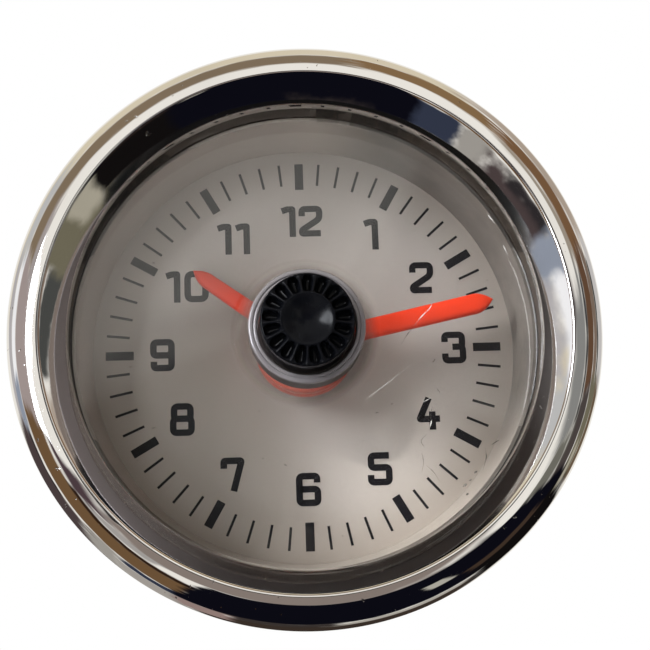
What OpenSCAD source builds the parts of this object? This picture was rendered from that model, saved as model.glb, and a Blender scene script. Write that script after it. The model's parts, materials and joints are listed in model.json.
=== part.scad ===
// Round dashboard clock with a push-and-turn setting knob at the middle of its window.
// Each piece is drawn as seen from the front: x to the right, y towards twelve o'clock,
// and heights towards the viewer, with the panel's face at height zero.

/* [Housing] */
// Outer radius of the can that passes through the panel
housing_r = 26; // [24:0.1:29]
// Wall of the can
housing_wall = 1.6; // [1.2:0.1:1.8]
// Thickness of the can's front flange
flange_t = 1; // [0.8:0.1:1.6]
// Width of the inner ledge that carries the movement
ledge_w = 1.4; // [1:0.1:1.6]
// Thickness of the rear wall
rear_wall_t = 2; // [1.6:0.1:3]
// Free depth behind the circuit board
rear_space = 10; // [9:0.5:18]
// Radius of the rounded rear corner
rear_round = 1.2; // [0.6:0.1:1.5]

/* [Bezel] */
// How far the bezel reaches outside the can
bezel_over = 4; // [3.6:0.1:6]
// Thickness of the bezel's sheet metal
bezel_sheet = 0.8; // [0.6:0.05:1]
// Height at which the bezel's outer edge starts to round over
shoulder_h = 7.8; // [7.2:0.1:8]
// Height of the bezel's crest
crest_h = 9.8; // [9.4:0.1:11]
// Radial distance from the outer edge to the crest
crest_in = 3.15; // [2.8:0.05:3.6]
// Radial distance from the outer edge to the inner lip
lip_in = 5.8; // [5.4:0.1:6.4]
// Rounding of the crest
crest_round = 0.5; // [0.3:0.05:0.7]
// Rounding of the rear edge
rear_edge_round = 0.8; // [0.5:0.05:1.1]
// Rounding of the inner lip
lip_round = 0.45; // [0.35:0.05:0.6]
// How far the inner lip lies below the crest
lip_drop = 2.5; // [1.8:0.05:2.6]

/* [Window] */
// Thickness of the clear window
lens_t = 2; // [1.8:0.1:3]
// Thickness of the rubber ring under the window
gasket_t = 1; // [0.6:0.1:1.6]
// Outer radius of the collar round the knob
collar_r = 5.95; // [5.8:0.05:6.6]
// Wall of the collar
collar_wall = 0.9; // [0.5:0.05:0.95]
// Height of the collar above the window
collar_h = 3.3; // [2.6:0.1:3.5]
// Depth of the well inside the collar
well_depth = 0.4; // [0.2:0.05:0.8]
// Radius of the raised step round the collar
step_r = 7.5; // [7.2:0.1:9]
// Height of the raised step
step_h = 0.3; // [0.15:0.05:0.5]
// Height of the boss behind the window
boss_h = 0.6; // [0.4:0.1:1]

/* [Knob] */
// Radius of the knob
knob_r = 4.72; // [4.5:0.02:4.8]
// Radius of the dished middle of the knob
knob_top_r = 2.67; // [2.4:0.05:2.9]
// Height of the knob from skirt to front
knob_h = 5.4; // [5:0.1:6.4]
// Rise of the fluted face towards its middle
face_rise = 0.3; // [0.1:0.05:0.5]
// Number of flutes
flutes = 17; // [12:1:18]
// Radius of a flute's outer end
flute_r = 0.56; // [0.4:0.02:0.6]
// Radius of a flute's inner end
flute_in_r = 0.42; // [0.3:0.02:0.45]
// Depth of the flutes below the knob's front
flute_depth = 0.9; // [0.6:0.05:1.2]
// Depth of the dish in the knob's front
dish_depth = 0.5; // [0.3:0.05:0.7]
// Travel of the knob when it is pushed
push_travel = 1.2; // [0.8:0.1:1.4]
// Radius of the stem
stem_r = 1.5; // [1.3:0.05:1.6]
// Free length of the return spring
spring_len = 3.2; // [3:0.1:3.6]
// Wire diameter of the return spring
spring_wire = 0.36; // [0.3:0.02:0.38]
// Mean radius of the return spring
spring_r = 2.4; // [2.2:0.05:2.6]
// Curls of the return spring
spring_curls = 3.5; // [3:0.5:3.5]
// Thickness of the thrust washer
washer_t = 0.4; // [0.3:0.05:0.6]
// Thickness of the retaining clip
clip_t = 0.4; // [0.3:0.05:0.6]
// Thickness of the drive pad
pad_t = 0.55; // [0.4:0.05:0.8]

/* [Hands] */
// Gap between the minute hand's tip and the dial ring
minute_gap = 2.2; // [1:0.1:5]
// Length of the hour hand as a share of the minute hand's
hour_share = 0.71; // [0.55:0.01:0.85]
// Width of both hands at their hubs
hand_w = 2.1; // [1.5:0.1:2.6]
// Width of the minute hand where its tip begins
minute_tip_w = 2.2; // [1.4:0.1:2.6]
// Width of the hour hand where its tip begins
hour_tip_w = 1.7; // [1.2:0.1:2.6]
// Length of a hand's pointed tip
tip_len = 2; // [1.2:0.1:3]
// Radius of the round hub of a hand
hub_r = 5.4; // [4.5:0.1:6]
// Thickness of the minute hand
minute_t = 1.4; // [1.2:0.1:1.8]
// Thickness of the hour hand
hour_t = 1.2; // [0.8:0.1:1.6]
// Gap between the two hands
hand_gap = 0.6; // [0.4:0.1:1.2]
// Gap between the hour hand and the dial
dial_gap = 1.6; // [0.8:0.1:2.4]
// Minutes shown
minute_shown = 13; // [0:1:59]
// Hour shown
hour_shown = 10; // [0:1:11]

/* [Dial] */
// Thickness of the dial plate
dial_t = 0.6; // [0.4:0.05:1]
// Width of the dial ring where it stands on the dial
dial_foot = 1.1; // [0.9:0.1:1.7]
// Height of the dial ring's straight foot
dial_foot_h = 1; // [0.6:0.1:1.6]
// Wall of the dial ring at the window
dial_ring_wall = 0.35; // [0.25:0.05:0.5]

/* [Movement] */
// Thickness of the movement plates
plate_t = 1.5; // [1.2:0.1:2]
// Gap between the outermost wheel and the edge of the back plate
train_gap = 1.25; // [1:0.05:3]
// Thickness of a wheel
gear_t = 0.8; // [0.6:0.05:1]
// Gap between wheels on neighbouring levels
level_gap = 0.25; // [0.2:0.05:0.4]
// Radius of the arbors
arbor_r = 0.6; // [0.5:0.05:0.7]
// Radius of the arbors' pivots
pivot_r = 0.4; // [0.3:0.05:0.45]
// Radius of the pipe that carries the minute hand
cannon_r = 1.5; // [1.3:0.05:1.6]
// Radius of the pipe that carries the hour hand
hour_pipe_r = 2.3; // [2.1:0.05:2.6]
// Radius of the pillars between the plates
pillar_r = 1.4; // [1.3:0.1:1.6]
// Distance of the pillars from the back plate's edge
pillar_inset = 2.7; // [2.2:0.1:3]

/* [Motor] */
// Radius of the rotor magnet
magnet_r = 1.9; // [1.5:0.05:2]
// Thickness of the rotor magnet
magnet_t = 1.6; // [1.2:0.1:1.8]
// Thickness of the stator plate
stator_t = 0.8; // [0.6:0.1:1]
// Width of the stator's limbs
limb_w = 2; // [1.6:0.1:2.2]
// Distance between the stator's two limbs as a share of the back plate's radius
limb_share = 0.5; // [0.42:0.01:0.51]
// Width of the coil core
core_w = 1.6; // [1.2:0.1:1.8]
// Thickness of the coil core
core_t = 0.8; // [0.6:0.1:0.9]
// Radius of the bobbin's flanges
bobbin_r = 2; // [1.8:0.1:2.2]

/* [Electrics] */
// Thickness of the circuit board
board_t = 1.2; // [0.8:0.1:1.6]
// Distance from the back plate to the circuit board
board_standoff = 3.1; // [2:0.1:4]
// Width of a blade terminal
blade_w = 6.3; // [4.8:0.1:6.3]
// Thickness of a blade terminal
blade_t = 0.8; // [0.5:0.1:0.8]
// Free length of a blade terminal behind its plinth
blade_len = 8; // [7:0.5:12]
// Height of the plinth round the blade terminals
plinth_h = 1.5; // [0.5:0.1:2.5]
// Distance between blade terminals
blade_pitch = 9; // [8.5:0.1:10]
// Radius of the lamp holder's barrel
lamp_r = 4.6; // [4:0.1:5]
// Length of the lamp's glass
bulb_len = 7; // [5:0.5:7.5]

/* [Rear studs] */
// Radius of the studs' free ends
stud_r = 2; // [1.5:0.1:2.5]
// How much thicker the studs are in the rear wall and in their nuts
stud_step = 0.5; // [0.3:0.1:0.6]
// Distance between the studs
stud_spacing = 30; // [28:0.5:32]
// Length of a stud's free end behind its nut
stud_len = 15; // [10:0.5:25]
// Thickness of the thin nuts
nut_t = 2.2; // [1.6:0.1:3.2]
// Width of the thin nuts across their flats
nut_flats = 8; // [7:0.5:9]
// Thickness of the flat washers
stud_washer_t = 0.8; // [0.5:0.1:1.2]

/* [Hidden] */
$fn = 96;

// Clearances
seat_clear = 0.1;
run_clear = 0.05;
press_clear = 0.05;
free_clear = 0.15;
rim_gap = 0.4;

// Radii of the case
bezel_r = housing_r + bezel_over;
crest_r = bezel_r - crest_in;
lip_r = bezel_r - lip_in;
roll_r = housing_r + 0.6;
flange_r = bezel_r - bezel_sheet - rim_gap;
lens_r = flange_r - 2 * rim_gap;
bore_r = housing_r - housing_wall;
ledge_r = bore_r - ledge_w;
seated_r = bore_r - seat_clear;
dial_open_r = seated_r - dial_foot;
back_plate_r = ledge_r - 2 * rim_gap;
board_r = back_plate_r - 2 * rim_gap;

// Heights of the window and the knob
flange_back = bezel_sheet;
flange_front = flange_back + flange_t;
lens_back = flange_front + gasket_t;
lens_front = lens_back + lens_t;
well_r = collar_r - collar_wall;
well_floor = lens_front - well_depth;
boss_back = lens_back - boss_h;
boss_r = 2 * stem_r;
skirt_back = well_floor + push_travel + 2 * free_clear;
knob_front = skirt_back + knob_h;
face_back = knob_front - face_rise;
washer_back = well_floor + spring_len;
washer_front = washer_back + washer_t;
hollow_r = spring_r + spring_wire + 2 * rim_gap;
stem_front = (washer_front + knob_front - dish_depth) / 2;
clip_front = boss_back - press_clear;
clip_back = clip_front - clip_t;
clip_groove_r = 0.7 * stem_r;
clip_r = stem_r + 1.1;
stem_back = clip_back - free_clear;
pad_back = stem_back - pad_t;
pad_r = stem_r + 0.4;

// Heights of the hands and the dial
minute_front = pad_back - push_travel - press_clear;
minute_back = minute_front - minute_t;
minute_cap = 0.4;
hour_front = minute_back - hand_gap;
hour_back = hour_front - hour_t;
dial_front = hour_back - dial_gap;
dial_back = dial_front - dial_t;
minute_len = dial_open_r - minute_gap;
hour_len = hour_share * minute_len;
minute_angle = 6 * minute_shown;
hour_angle = 30 * hour_shown + minute_shown / 2;

// Heights of the motion work, between the dial and the front plate
motion_space = 2 * gear_t + 4 * level_gap;
plate_front = dial_back - motion_space;
plate_back = plate_front - plate_t;
lower_back = plate_front + level_gap;
lower_front = lower_back + gear_t;
upper_back = lower_front + level_gap;
upper_front = upper_back + gear_t;

// Heights of the train and the motor, between the plates
centre_front = plate_back - level_gap;
centre_back = centre_front - gear_t;
slow_front = centre_back - level_gap;
slow_back = slow_front - gear_t;
coil_height = plate_back - free_clear - bobbin_r;
stator_back = coil_height + core_t / 2;
stator_front = stator_back + stator_t;
magnet_front = (stator_front + stator_back + magnet_t) / 2;
magnet_back = magnet_front - magnet_t;
fast_front = min(slow_back, magnet_back) - level_gap;
fast_back = fast_front - gear_t;
rear_plate_front = min(fast_back - level_gap, coil_height - bobbin_r - free_clear);
rear_plate_back = rear_plate_front - plate_t;

// Heights of the board and the rear wall
board_front = rear_plate_back - board_standoff;
board_back = board_front - board_t;
wall_front = board_back - rear_space;
wall_back = wall_front - rear_wall_t;

// Teeth, ratios sixty to one from rotor to minute hand and twelve to one to the hour hand
pressure_angle = 25;
tooth_thin = 0.045;
cannon_teeth = 15;
motion_teeth = 45;
pinion_teeth = 12;
wheel_teeth = 48;
slow_teeth = 45;
motion_way = 270;
slow_way = 170;
fast_way = 90;
rotor_way = 10;
function toward(way, reach) = reach * [cos(way), sin(way)];

// Distances between arbors in modules, and the module that lets the train fill the back plate
motion_count = (cannon_teeth + motion_teeth) / 2;
centre_count = (wheel_teeth + pinion_teeth) / 2;
slow_count = (slow_teeth + pinion_teeth) / 2;
fast_count = norm(toward(slow_way, centre_count) + toward(fast_way, slow_count));
gear_module = (back_plate_r - train_gap) / (fast_count + wheel_teeth / 2 + 1);
motion_reach = gear_module * motion_count;
centre_reach = gear_module * centre_count;
slow_reach = gear_module * slow_count;

// Places of the arbors
motion_at = toward(motion_way, motion_reach);
slow_at = toward(slow_way, centre_reach);
fast_at = slow_at + toward(fast_way, slow_reach);
rotor_at = fast_at + toward(rotor_way, centre_reach);
train_at = [slow_at, fast_at, rotor_at];

// Places of the motor's pieces
air_gap = 0.5;
pole_r = magnet_r + air_gap;
pole_wall = 0.9;
limb_span = limb_share * back_plate_r;
coil_at = rotor_at + [limb_span / 2, pole_r + pole_wall + bobbin_r + 0.2];
bobbin_len = limb_span - limb_w - 4 * free_clear;
bobbin_flange = 0.6;
spool_r = norm([core_w / 2 + press_clear, core_t / 2 + press_clear]) + 0.3;
winding_r = bobbin_r - 0.2;
limb_top = coil_at[1] + core_w / 2 + 0.2;

// Places of the pillars, the board's posts and what the board carries
pillar_circle = back_plate_r - pillar_inset;
pillar_ways = [40, 160, 280];
pillar_bore = 0.9;
screw_head_r = 1.8;
screw_head_t = 0.9;
post_inset = 5.4;
post_circle = board_r - post_inset;
post_ways = [100, 220, 340];
post_r = 1.7;
post_bore = 0.8;
guide_r = motion_reach + gear_module * (motion_teeth / 2 + 1) + rim_gap;
blade_inset = 9.4;
blade_row = board_r - blade_inset;
blade_taper = 1.5 * blade_t;
plinth_edge = 2;
lamp_inset = 8;
lamp_at = [0, lamp_inset - board_r];
lead_r = 0.25;
chip_at = board_r * [0, 0.12];
crystal_at = board_r * [-0.49, 0.14];
capacitor_at = board_r * [0.44, -0.42];
resistor_at = board_r * [0.49, 0.21];
resistor_r = 1.1;
resistor_len = 5;
diode_at = board_r * [0.49, -0.02];
diode_r = 1.2;
diode_len = 4;

// Sizes of the rear fittings
stud_at = stud_spacing / 2;
shank_r = stud_r + stud_step;
stud_head_r = 1.5 * shank_r;
stud_head_t = 0.7 * shank_r;
nut_back = wall_back - stud_washer_t - nut_t;
shank_back = nut_back - 2 * free_clear;
plinth_back = wall_back - plinth_h;
stud_washer_r = nut_flats / 2 + 1;
lamp_flange = 1.4;
lamp_grip = 3;
lamp_grip_w = 2.4;
lamp_socket = 2.6;
bulb_r = 2.5;

// Everything is turned so that its front faces the viewer
module facing() {
    rotate([90, 0, 0]) children();
}

module slab(back, front) {
    translate([0, 0, back]) linear_extrude(front - back) children();
}

module disc(r, back, front) {
    translate([0, 0, back]) cylinder(r = r, h = front - back);
}

module ring(outer, inner, back, front) {
    difference() {
        disc(outer, back, front);
        disc(inner, back - 1, front + 1);
    }
}

module turned(outline) {
    rotate_extrude() polygon(outline);
}

module around(circle_r, ways) {
    for (way = ways) translate(toward(way, circle_r)) children();
}

// Points of an arc from one angle to another
function arc(centre, r, from, to, steps) =
    [for (i = [0:steps]) let (a = from + (to - from) * i / steps) centre + r * [cos(a), sin(a)]];

// Involute teeth: the angle that a flank has turned through at radius r
function unwound(base, r) = let (a = acos(min(1, base / r))) tan(a) * 180 / PI - a;

function tooth(teeth) =
    let (pitch = teeth * gear_module / 2,
        base = pitch * cos(pressure_angle),
        root = pitch - 1.25 * gear_module,
        tip = pitch + gear_module,
        half = 90 / teeth - tooth_thin * 90 / (PI * pitch) + unwound(base, pitch),
        low = max(root, base),
        radii = concat(root < base ? [root] : [], [low, (low + tip) / 2, tip]))
    [for (r = radii) [r, half - unwound(base, r)]];

function gear_outline(teeth, turn) =
    let (flank = tooth(teeth), last = len(flank) - 1)
    [for (i = [0:teeth - 1], k = [0:2 * last + 1])
        let (p = k <= last ? flank[k] : flank[2 * last + 1 - k],
            a = turn + 360 * i / teeth + (k <= last ? -p[1] : p[1]))
        p[0] * [cos(a), sin(a)]];

module gear(teeth, turn) {
    polygon(gear_outline(teeth, turn));
}

// A gap of the driven gear faces a tooth of the driving one
function facing_gap(way, teeth) = way + 180 + 180 / teeth;

// A wheel with four open crossings between its hub and its rim
module crossed_wheel(teeth, turn, hub, spoke) {
    rim = gear_module * (teeth / 2 - 1.25) - 1;
    difference() {
        gear(teeth, turn);
        difference() {
            circle(rim);
            circle(hub);
            for (way = [0, 90]) rotate(way) square([spoke, 2 * rim], center = true);
        }
        circle(arbor_r);
    }
}

// A steel arbor between the plates with a pivot at each end
module pivoted_arbor() {
    disc(arbor_r, rear_plate_front + free_clear, plate_back - free_clear);
    disc(pivot_r, rear_plate_back + free_clear, plate_front - free_clear);
}

// A hand that points to twelve, with a round hub and sides that bow in to a point
module hand_outline(length, tip_w) {
    half = hand_w / 2;
    steps = 6;
    circle(hub_r);
    polygon(concat(
        [[-half, 0], [half, 0]],
        [for (i = [-steps:steps]) let (t = 1 - abs(i) / steps)
            [-sign(i) * tip_w / 2 * (1 - t * t), length - tip_len + tip_len * t]]
    ));
}

// The hand as a solid, with its upper edge drawn in
module hand(length, tip_w, back, front) {
    step = 0.25;
    slab(back, front - step) hand_outline(length, tip_w);
    slab(front - step, front) offset(delta = -step) hand_outline(length, tip_w);
}

module housing() {
    corner = [housing_r - rear_round, wall_back + rear_round];
    stud_hole = shank_r + seat_clear;
    rib = 1.2;
    plinth = [2 * blade_pitch + blade_w, blade_t] + 2 * plinth_edge * [1, 1];
    color("#1c1d1f") facing() difference() {
        union() {
            turned(concat(
                [[0, wall_back]],
                arc(corner, rear_round, -90, 0, 4),
                [[housing_r, 0], [roll_r - seat_clear, 0], [roll_r - seat_clear, flange_back],
                    [flange_r, flange_back], [flange_r, flange_front],
                    [bore_r, flange_front], [bore_r, plate_back], [ledge_r, plate_back],
                    [ledge_r, wall_front], [0, wall_front]]
            ));
            for (side = [-1, 1]) translate([side * stud_at, 0]) {
                disc(stud_head_r + rib, wall_front - 0.1, wall_front + stud_head_t);
            }
            translate([0, blade_row]) slab(plinth_back, wall_front) square(plinth, center = true);
        }
        for (side = [-1, 1]) translate([side * stud_at, 0]) {
            disc(stud_hole, wall_back - 1, wall_front + 1);
            slab(wall_front, wall_front + stud_head_t + 1) circle(stud_head_r + seat_clear, $fn = 6);
        }
        translate(lamp_at) disc(lamp_r + run_clear, wall_back - 1, wall_front + 1);
        for (i = [-1:1]) translate([i * blade_pitch, blade_row]) {
            slab(plinth_back - 1, wall_front + 1)
                square([blade_w + 2 * seat_clear, blade_t + 2 * seat_clear], center = true);
        }
    }
}

// Points of a quarter round from its outer edge up to its crest, with its own width and height
function quarter(centre, width, height, to, steps) =
    [for (i = [0:steps]) let (a = to * i / steps) centre + [width * cos(a), height * sin(a)]];

// A sheet that rises from its rolled rear edge over a quarter round to the crest, falls to a rounded lip
// and turns down and under it to stand on the window
module bezel() {
    rear = [bezel_r - rear_edge_round, rear_edge_round];
    round_over = [crest_r, shoulder_h];
    rise = crest_h - shoulder_h;
    crest = [crest_r, crest_h - crest_round];
    lip = [lip_r + lip_round, crest[1] - lip_drop];
    crest_way = 72;
    slope_way = 90 + atan2(crest[1] - lip[1], crest[0] - lip[0]);
    hem_back = (lip[1] + lens_front) / 2;
    inside = quarter(round_over, crest_in - bezel_sheet, rise - bezel_sheet, crest_way, 8);
    color("#d9dadc") facing() turned(concat(
        [[roll_r, 0]],
        arc(rear, rear_edge_round, -90, 0, 4),
        quarter(round_over, crest_in, rise, crest_way, 12),
        arc(crest, crest_round, (crest_way + 90) / 2, slope_way, 5),
        arc(lip, lip_round, slope_way, 180, 5),
        [[lip_r, hem_back], [lip[0], lens_front], [lip[0] + bezel_sheet, lens_front]],
        [for (i = [len(inside) - 1:-1:0]) inside[i]],
        [[bezel_r - bezel_sheet, bezel_sheet], [roll_r, bezel_sheet]]
    ));
}

module lens_gasket() {
    color("#26282a") facing() ring(lens_r, bore_r + seat_clear, flange_front, lens_back);
}

module lens() {
    rim_round = 0.15;
    bore = stem_r + run_clear;
    color("#dfe6e8", 0.35) facing() turned([
        [bore, boss_back], [boss_r, boss_back], [boss_r, lens_back], [lens_r, lens_back],
        [lens_r, lens_front], [step_r + step_h, lens_front], [step_r, lens_front + step_h],
        [collar_r, lens_front + step_h], [collar_r, lens_front + collar_h - rim_round],
        [collar_r - rim_round, lens_front + collar_h],
        [well_r + rim_round, lens_front + collar_h], [well_r, lens_front + collar_h - rim_round],
        [well_r, well_floor], [bore, well_floor]
    ]);
}

module dial_ring() {
    color("#8d8a86") facing() turned([
        [dial_open_r, dial_front], [seated_r, dial_front], [seated_r, lens_back],
        [seated_r - dial_ring_wall, lens_back], [dial_open_r, dial_front + dial_foot_h]
    ]);
}

module dial_plate() {
    color("#a9a19a") facing() ring(seated_r, hour_pipe_r + 2 * free_clear, dial_back, dial_front);
}

module light_guide() {
    color("#e8ecec", 0.5) facing() ring(seated_r, guide_r, plate_front, dial_back);
}

module front_plate() {
    stator_post = 0.9;
    color("#c9b06a") facing() difference() {
        union() {
            disc(seated_r, plate_back, plate_front);
            translate(motion_at) disc(arbor_r, plate_back, upper_front + free_clear);
            for (x = [0, limb_span]) translate([rotor_at[0] + x, coil_at[1]]) {
                disc(stator_post, stator_front, plate_front);
            }
        }
        disc(arbor_r + run_clear, plate_back - 1, plate_front + 1);
        for (p = train_at) translate(p) disc(pivot_r + run_clear, plate_back - 1, plate_front + 1);
        around(pillar_circle, pillar_ways) disc(pillar_bore, plate_back - 1, plate_front + 1);
    }
}

module back_plate() {
    color("#c9b06a") facing() difference() {
        union() {
            disc(back_plate_r, rear_plate_back, rear_plate_front);
            around(post_circle, post_ways) disc(post_r, board_front, rear_plate_front);
        }
        for (p = concat([[0, 0]], train_at)) translate(p) {
            disc(pivot_r + run_clear, rear_plate_back - 1, rear_plate_front + 1);
        }
        around(pillar_circle, pillar_ways) {
            disc(pillar_bore + seat_clear, rear_plate_back - 1, rear_plate_front + 1);
        }
        around(post_circle, post_ways) disc(post_bore, board_front - 1, rear_plate_back);
    }
}

module plate_pillars() {
    color("#b9bcc0") facing() around(pillar_circle, pillar_ways) difference() {
        union() {
            disc(pillar_r, rear_plate_front, plate_back);
            disc(pillar_bore, plate_back - 0.1, plate_front);
        }
        disc(pillar_bore, rear_plate_front - 1, rear_plate_front + 2);
    }
}

module slotted_head(r, back, front) {
    slot = 0.4;
    difference() {
        disc(r, back, front);
        slab(back - 1, back + slot) square([3 * r, slot], center = true);
    }
}

module plate_screws() {
    color("#9fa3a8") facing() around(pillar_circle, pillar_ways) {
        slotted_head(screw_head_r, rear_plate_back - screw_head_t, rear_plate_back);
        disc(pillar_bore, rear_plate_back, rear_plate_front + 2);
    }
}

module stator() {
    half = limb_w / 2;
    color("#8f949a") facing() slab(stator_back, stator_front) difference() {
        translate(rotor_at) {
            circle(pole_r + pole_wall);
            translate([-half, 0]) square([limb_w, limb_top - rotor_at[1]]);
            translate([0, -half]) square([limb_span + half, limb_w]);
            translate([limb_span - half, -half]) {
                square([limb_w, limb_top - rotor_at[1] + half]);
            }
        }
        translate(rotor_at) circle(pole_r);
    }
}

module coil_core() {
    half = limb_w / 2;
    color("#a4a8ad") facing() slab(coil_height - core_t / 2, coil_height + core_t / 2) {
        translate([rotor_at[0] - half, coil_at[1] - core_w / 2]) square([limb_span + limb_w, core_w]);
    }
}

// A round piece that lies along the coil, measured from the coil's middle
module along_coil(r, from, to) {
    translate([coil_at[0] + from, coil_at[1], coil_height]) {
        rotate([0, 90, 0]) cylinder(r = r, h = to - from);
    }
}

module coil_bobbin() {
    half = bobbin_len / 2;
    color("#e9e4d4") facing() difference() {
        union() {
            along_coil(spool_r, -half, half);
            along_coil(bobbin_r, -half, bobbin_flange - half);
            along_coil(bobbin_r, half - bobbin_flange, half);
        }
        translate([coil_at[0], coil_at[1], coil_height]) {
            cube([limb_span, core_w + 2 * press_clear, core_t + 2 * press_clear], center = true);
        }
    }
}

module coil_winding() {
    half = bobbin_len / 2 - bobbin_flange;
    color("#a3562a") facing() difference() {
        along_coil(winding_r, -half, half);
        along_coil(spool_r, -half - 1, half + 1);
    }
}

module circuit_board() {
    color("#2f6b45") facing() difference() {
        disc(board_r, board_back, board_front);
        translate(lamp_at) disc(lamp_r + 1, board_back - 1, board_front + 1);
        slab(board_back - 1, board_front + 1) translate(lamp_at - [lamp_r + 1, board_r]) {
            square([2 * lamp_r + 2, board_r]);
        }
        around(post_circle, post_ways) disc(post_bore + seat_clear, board_back - 1, board_front + 1);
        for (i = [-1:1]) translate([i * blade_pitch, blade_row]) slab(board_back - 1, board_front + 1) {
            square([blade_w + 2 * press_clear, blade_t + 2 * press_clear], center = true);
        }
    }
}

module board_screws() {
    head = post_r;
    color("#9fa3a8") facing() around(post_circle, post_ways) {
        slotted_head(head, board_back - screw_head_t, board_back);
        disc(post_bore, board_back, rear_plate_back - free_clear);
    }
}

// A lead that stands on the board
module lead(x, top) {
    translate([x, 0]) disc(lead_r, top, board_back);
}

module quartz_crystal() {
    can_r = 1.5;
    can_len = 8;
    middle = board_back - can_r;
    color("#c4c7ca") facing() translate(crystal_at) {
        translate([0, -can_len / 2, middle]) rotate([-90, 0, 0]) cylinder(r = can_r, h = can_len);
        for (x = [-0.5, 0.5]) translate([x, can_len / 2 - 0.1, middle]) {
            rotate([-90, 0, 0]) cylinder(r = lead_r, h = 1.5);
        }
        translate([0, can_len / 2 + 1.2]) for (x = [-0.5, 0.5]) lead(x, middle);
    }
}

module timing_chip() {
    body = [5, 4, 1.5];
    leg = [0.4, 6, 0.3];
    rise = 0.5;
    color("#1b1b1d") facing() translate([chip_at[0], chip_at[1], board_back]) {
        translate([0, 0, -body[2] / 2 - 0.1]) cube(body, center = true);
        for (i = [-1.5:1.5]) translate([1.27 * i, 0]) {
            translate([0, 0, -rise - leg[2] / 2]) cube([leg[0], leg[1] - 0.8, leg[2]], center = true);
            for (side = [-1, 1]) translate([0, side * (leg[1] / 2 - 0.4), -rise / 2 - leg[2] / 2]) {
                cube([leg[0], 0.8, rise + leg[2]], center = true);
            }
        }
    }
}

module capacitor() {
    can_r = 2.5;
    can_len = 6;
    groove = 0.25;
    color("#27324a") facing() translate(capacitor_at) turned([
        [0, board_back - can_len], [can_r - groove, board_back - can_len],
        [can_r, board_back - can_len + groove], [can_r, board_back - 1.4],
        [can_r - groove, board_back - 1.2], [can_r, board_back - 1], [can_r, board_back],
        [0, board_back]
    ]);
}

// A small body lying across the board between two bent leads
module axial_body(r, length) {
    middle = board_back - r - 0.3;
    reach = length / 2 + 1;
    translate([-length / 2, 0, middle]) rotate([0, 90, 0]) cylinder(r = r, h = length);
    translate([-reach, 0, middle]) rotate([0, 90, 0]) cylinder(r = lead_r, h = 2 * reach);
    for (x = [-reach, reach]) lead(x, middle - lead_r);
}

module resistor() {
    color("#c9a878") facing() translate(resistor_at) axial_body(resistor_r, resistor_len);
}

module diode() {
    color("#23262a") facing() translate(diode_at) axial_body(diode_r, diode_len);
}

// Flat blades with a tapered end and a latching hole, through the board and the rear wall
module blade_terminals() {
    front = board_front + blade_t / 2;
    back = plinth_back - blade_len;
    half = blade_w / 2;
    color("#c7b98e") facing() for (i = [-1:1]) translate([i * blade_pitch, blade_row + blade_t / 2]) {
        rotate([90, 0, 0]) linear_extrude(blade_t) difference() {
            polygon([
                [-half, front], [half, front], [half, back + blade_taper],
                [half - blade_taper, back], [blade_taper - half, back], [-half, back + blade_taper]
            ]);
            translate([0, back + blade_len / 2]) circle(blade_t);
        }
    }
}

module lamp_holder() {
    socket_r = lamp_r - 0.6;
    socket_front = wall_front + lamp_socket;
    color("#2b2d30") facing() translate(lamp_at) difference() {
        union() {
            disc(lamp_r, wall_back, wall_front);
            disc(socket_r, wall_front - 0.1, socket_front);
            disc(lamp_r + 1.2, wall_back - lamp_flange, wall_back);
            slab(wall_back - lamp_flange - lamp_grip, wall_back - lamp_flange) {
                square([2 * lamp_r, lamp_grip_w], center = true);
            }
        }
        disc(bulb_r - 0.5, socket_front - 2, socket_front + 1);
    }
}

module lamp_bulb() {
    seat = wall_front + lamp_socket;
    top = seat + bulb_len;
    color("#f4efe0", 0.5) facing() translate(lamp_at) turned(concat(
        [[0, seat - 2], [bulb_r - 0.5, seat - 2], [bulb_r - 0.5, seat], [bulb_r, seat]],
        arc([0, top - bulb_r], bulb_r, 0, 90, 8)
    ));
}

module rear_studs() {
    color("#b4b8bc") facing() for (side = [-1, 1]) translate([side * stud_at, 0]) {
        slab(wall_front, wall_front + stud_head_t) circle(stud_head_r, $fn = 6);
        disc(shank_r, shank_back, wall_front);
        disc(stud_r, shank_back - stud_len, wall_front);
    }
}

module stud_washers() {
    color("#aeb2b6") facing() for (side = [-1, 1]) translate([side * stud_at, 0]) {
        ring(stud_washer_r, shank_r + seat_clear, wall_back - stud_washer_t, wall_back);
    }
}

module stud_nuts() {
    across = nut_flats / 2 / cos(30);
    color("#a8acb0") facing() for (side = [-1, 1]) translate([side * stud_at, 0]) difference() {
        slab(nut_back, nut_back + nut_t) circle(across, $fn = 6);
        disc(shank_r, nut_back - 1, nut_back + nut_t + 1);
    }
}

// The return spring is one tube that follows a helix
spring_rings = 8;
spring_sides = 6;
spring_rise = spring_len - spring_wire - 0.04;
spring_count = round(spring_curls * spring_rings);

function spring_point(i) =
    let (a = 360 * i / spring_rings)
    [spring_r * cos(a), spring_r * sin(a),
        well_floor + 0.02 + spring_wire / 2 + spring_rise * i / spring_count];

function spring_ring(i) =
    let (a = 360 * i / spring_rings, middle = spring_point(i), out = [cos(a), sin(a), 0])
    [for (k = [0:spring_sides - 1]) let (b = 360 * k / spring_sides)
        middle + spring_wire / 2 * (cos(b) * out + [0, 0, sin(b)])];

spring_pitch_gap = min([for (i = [0:spring_count - spring_rings])
    norm(spring_point(i + spring_rings) - spring_point(i))]) - spring_wire;
echo(least_gap_between_curls = spring_pitch_gap);

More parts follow.
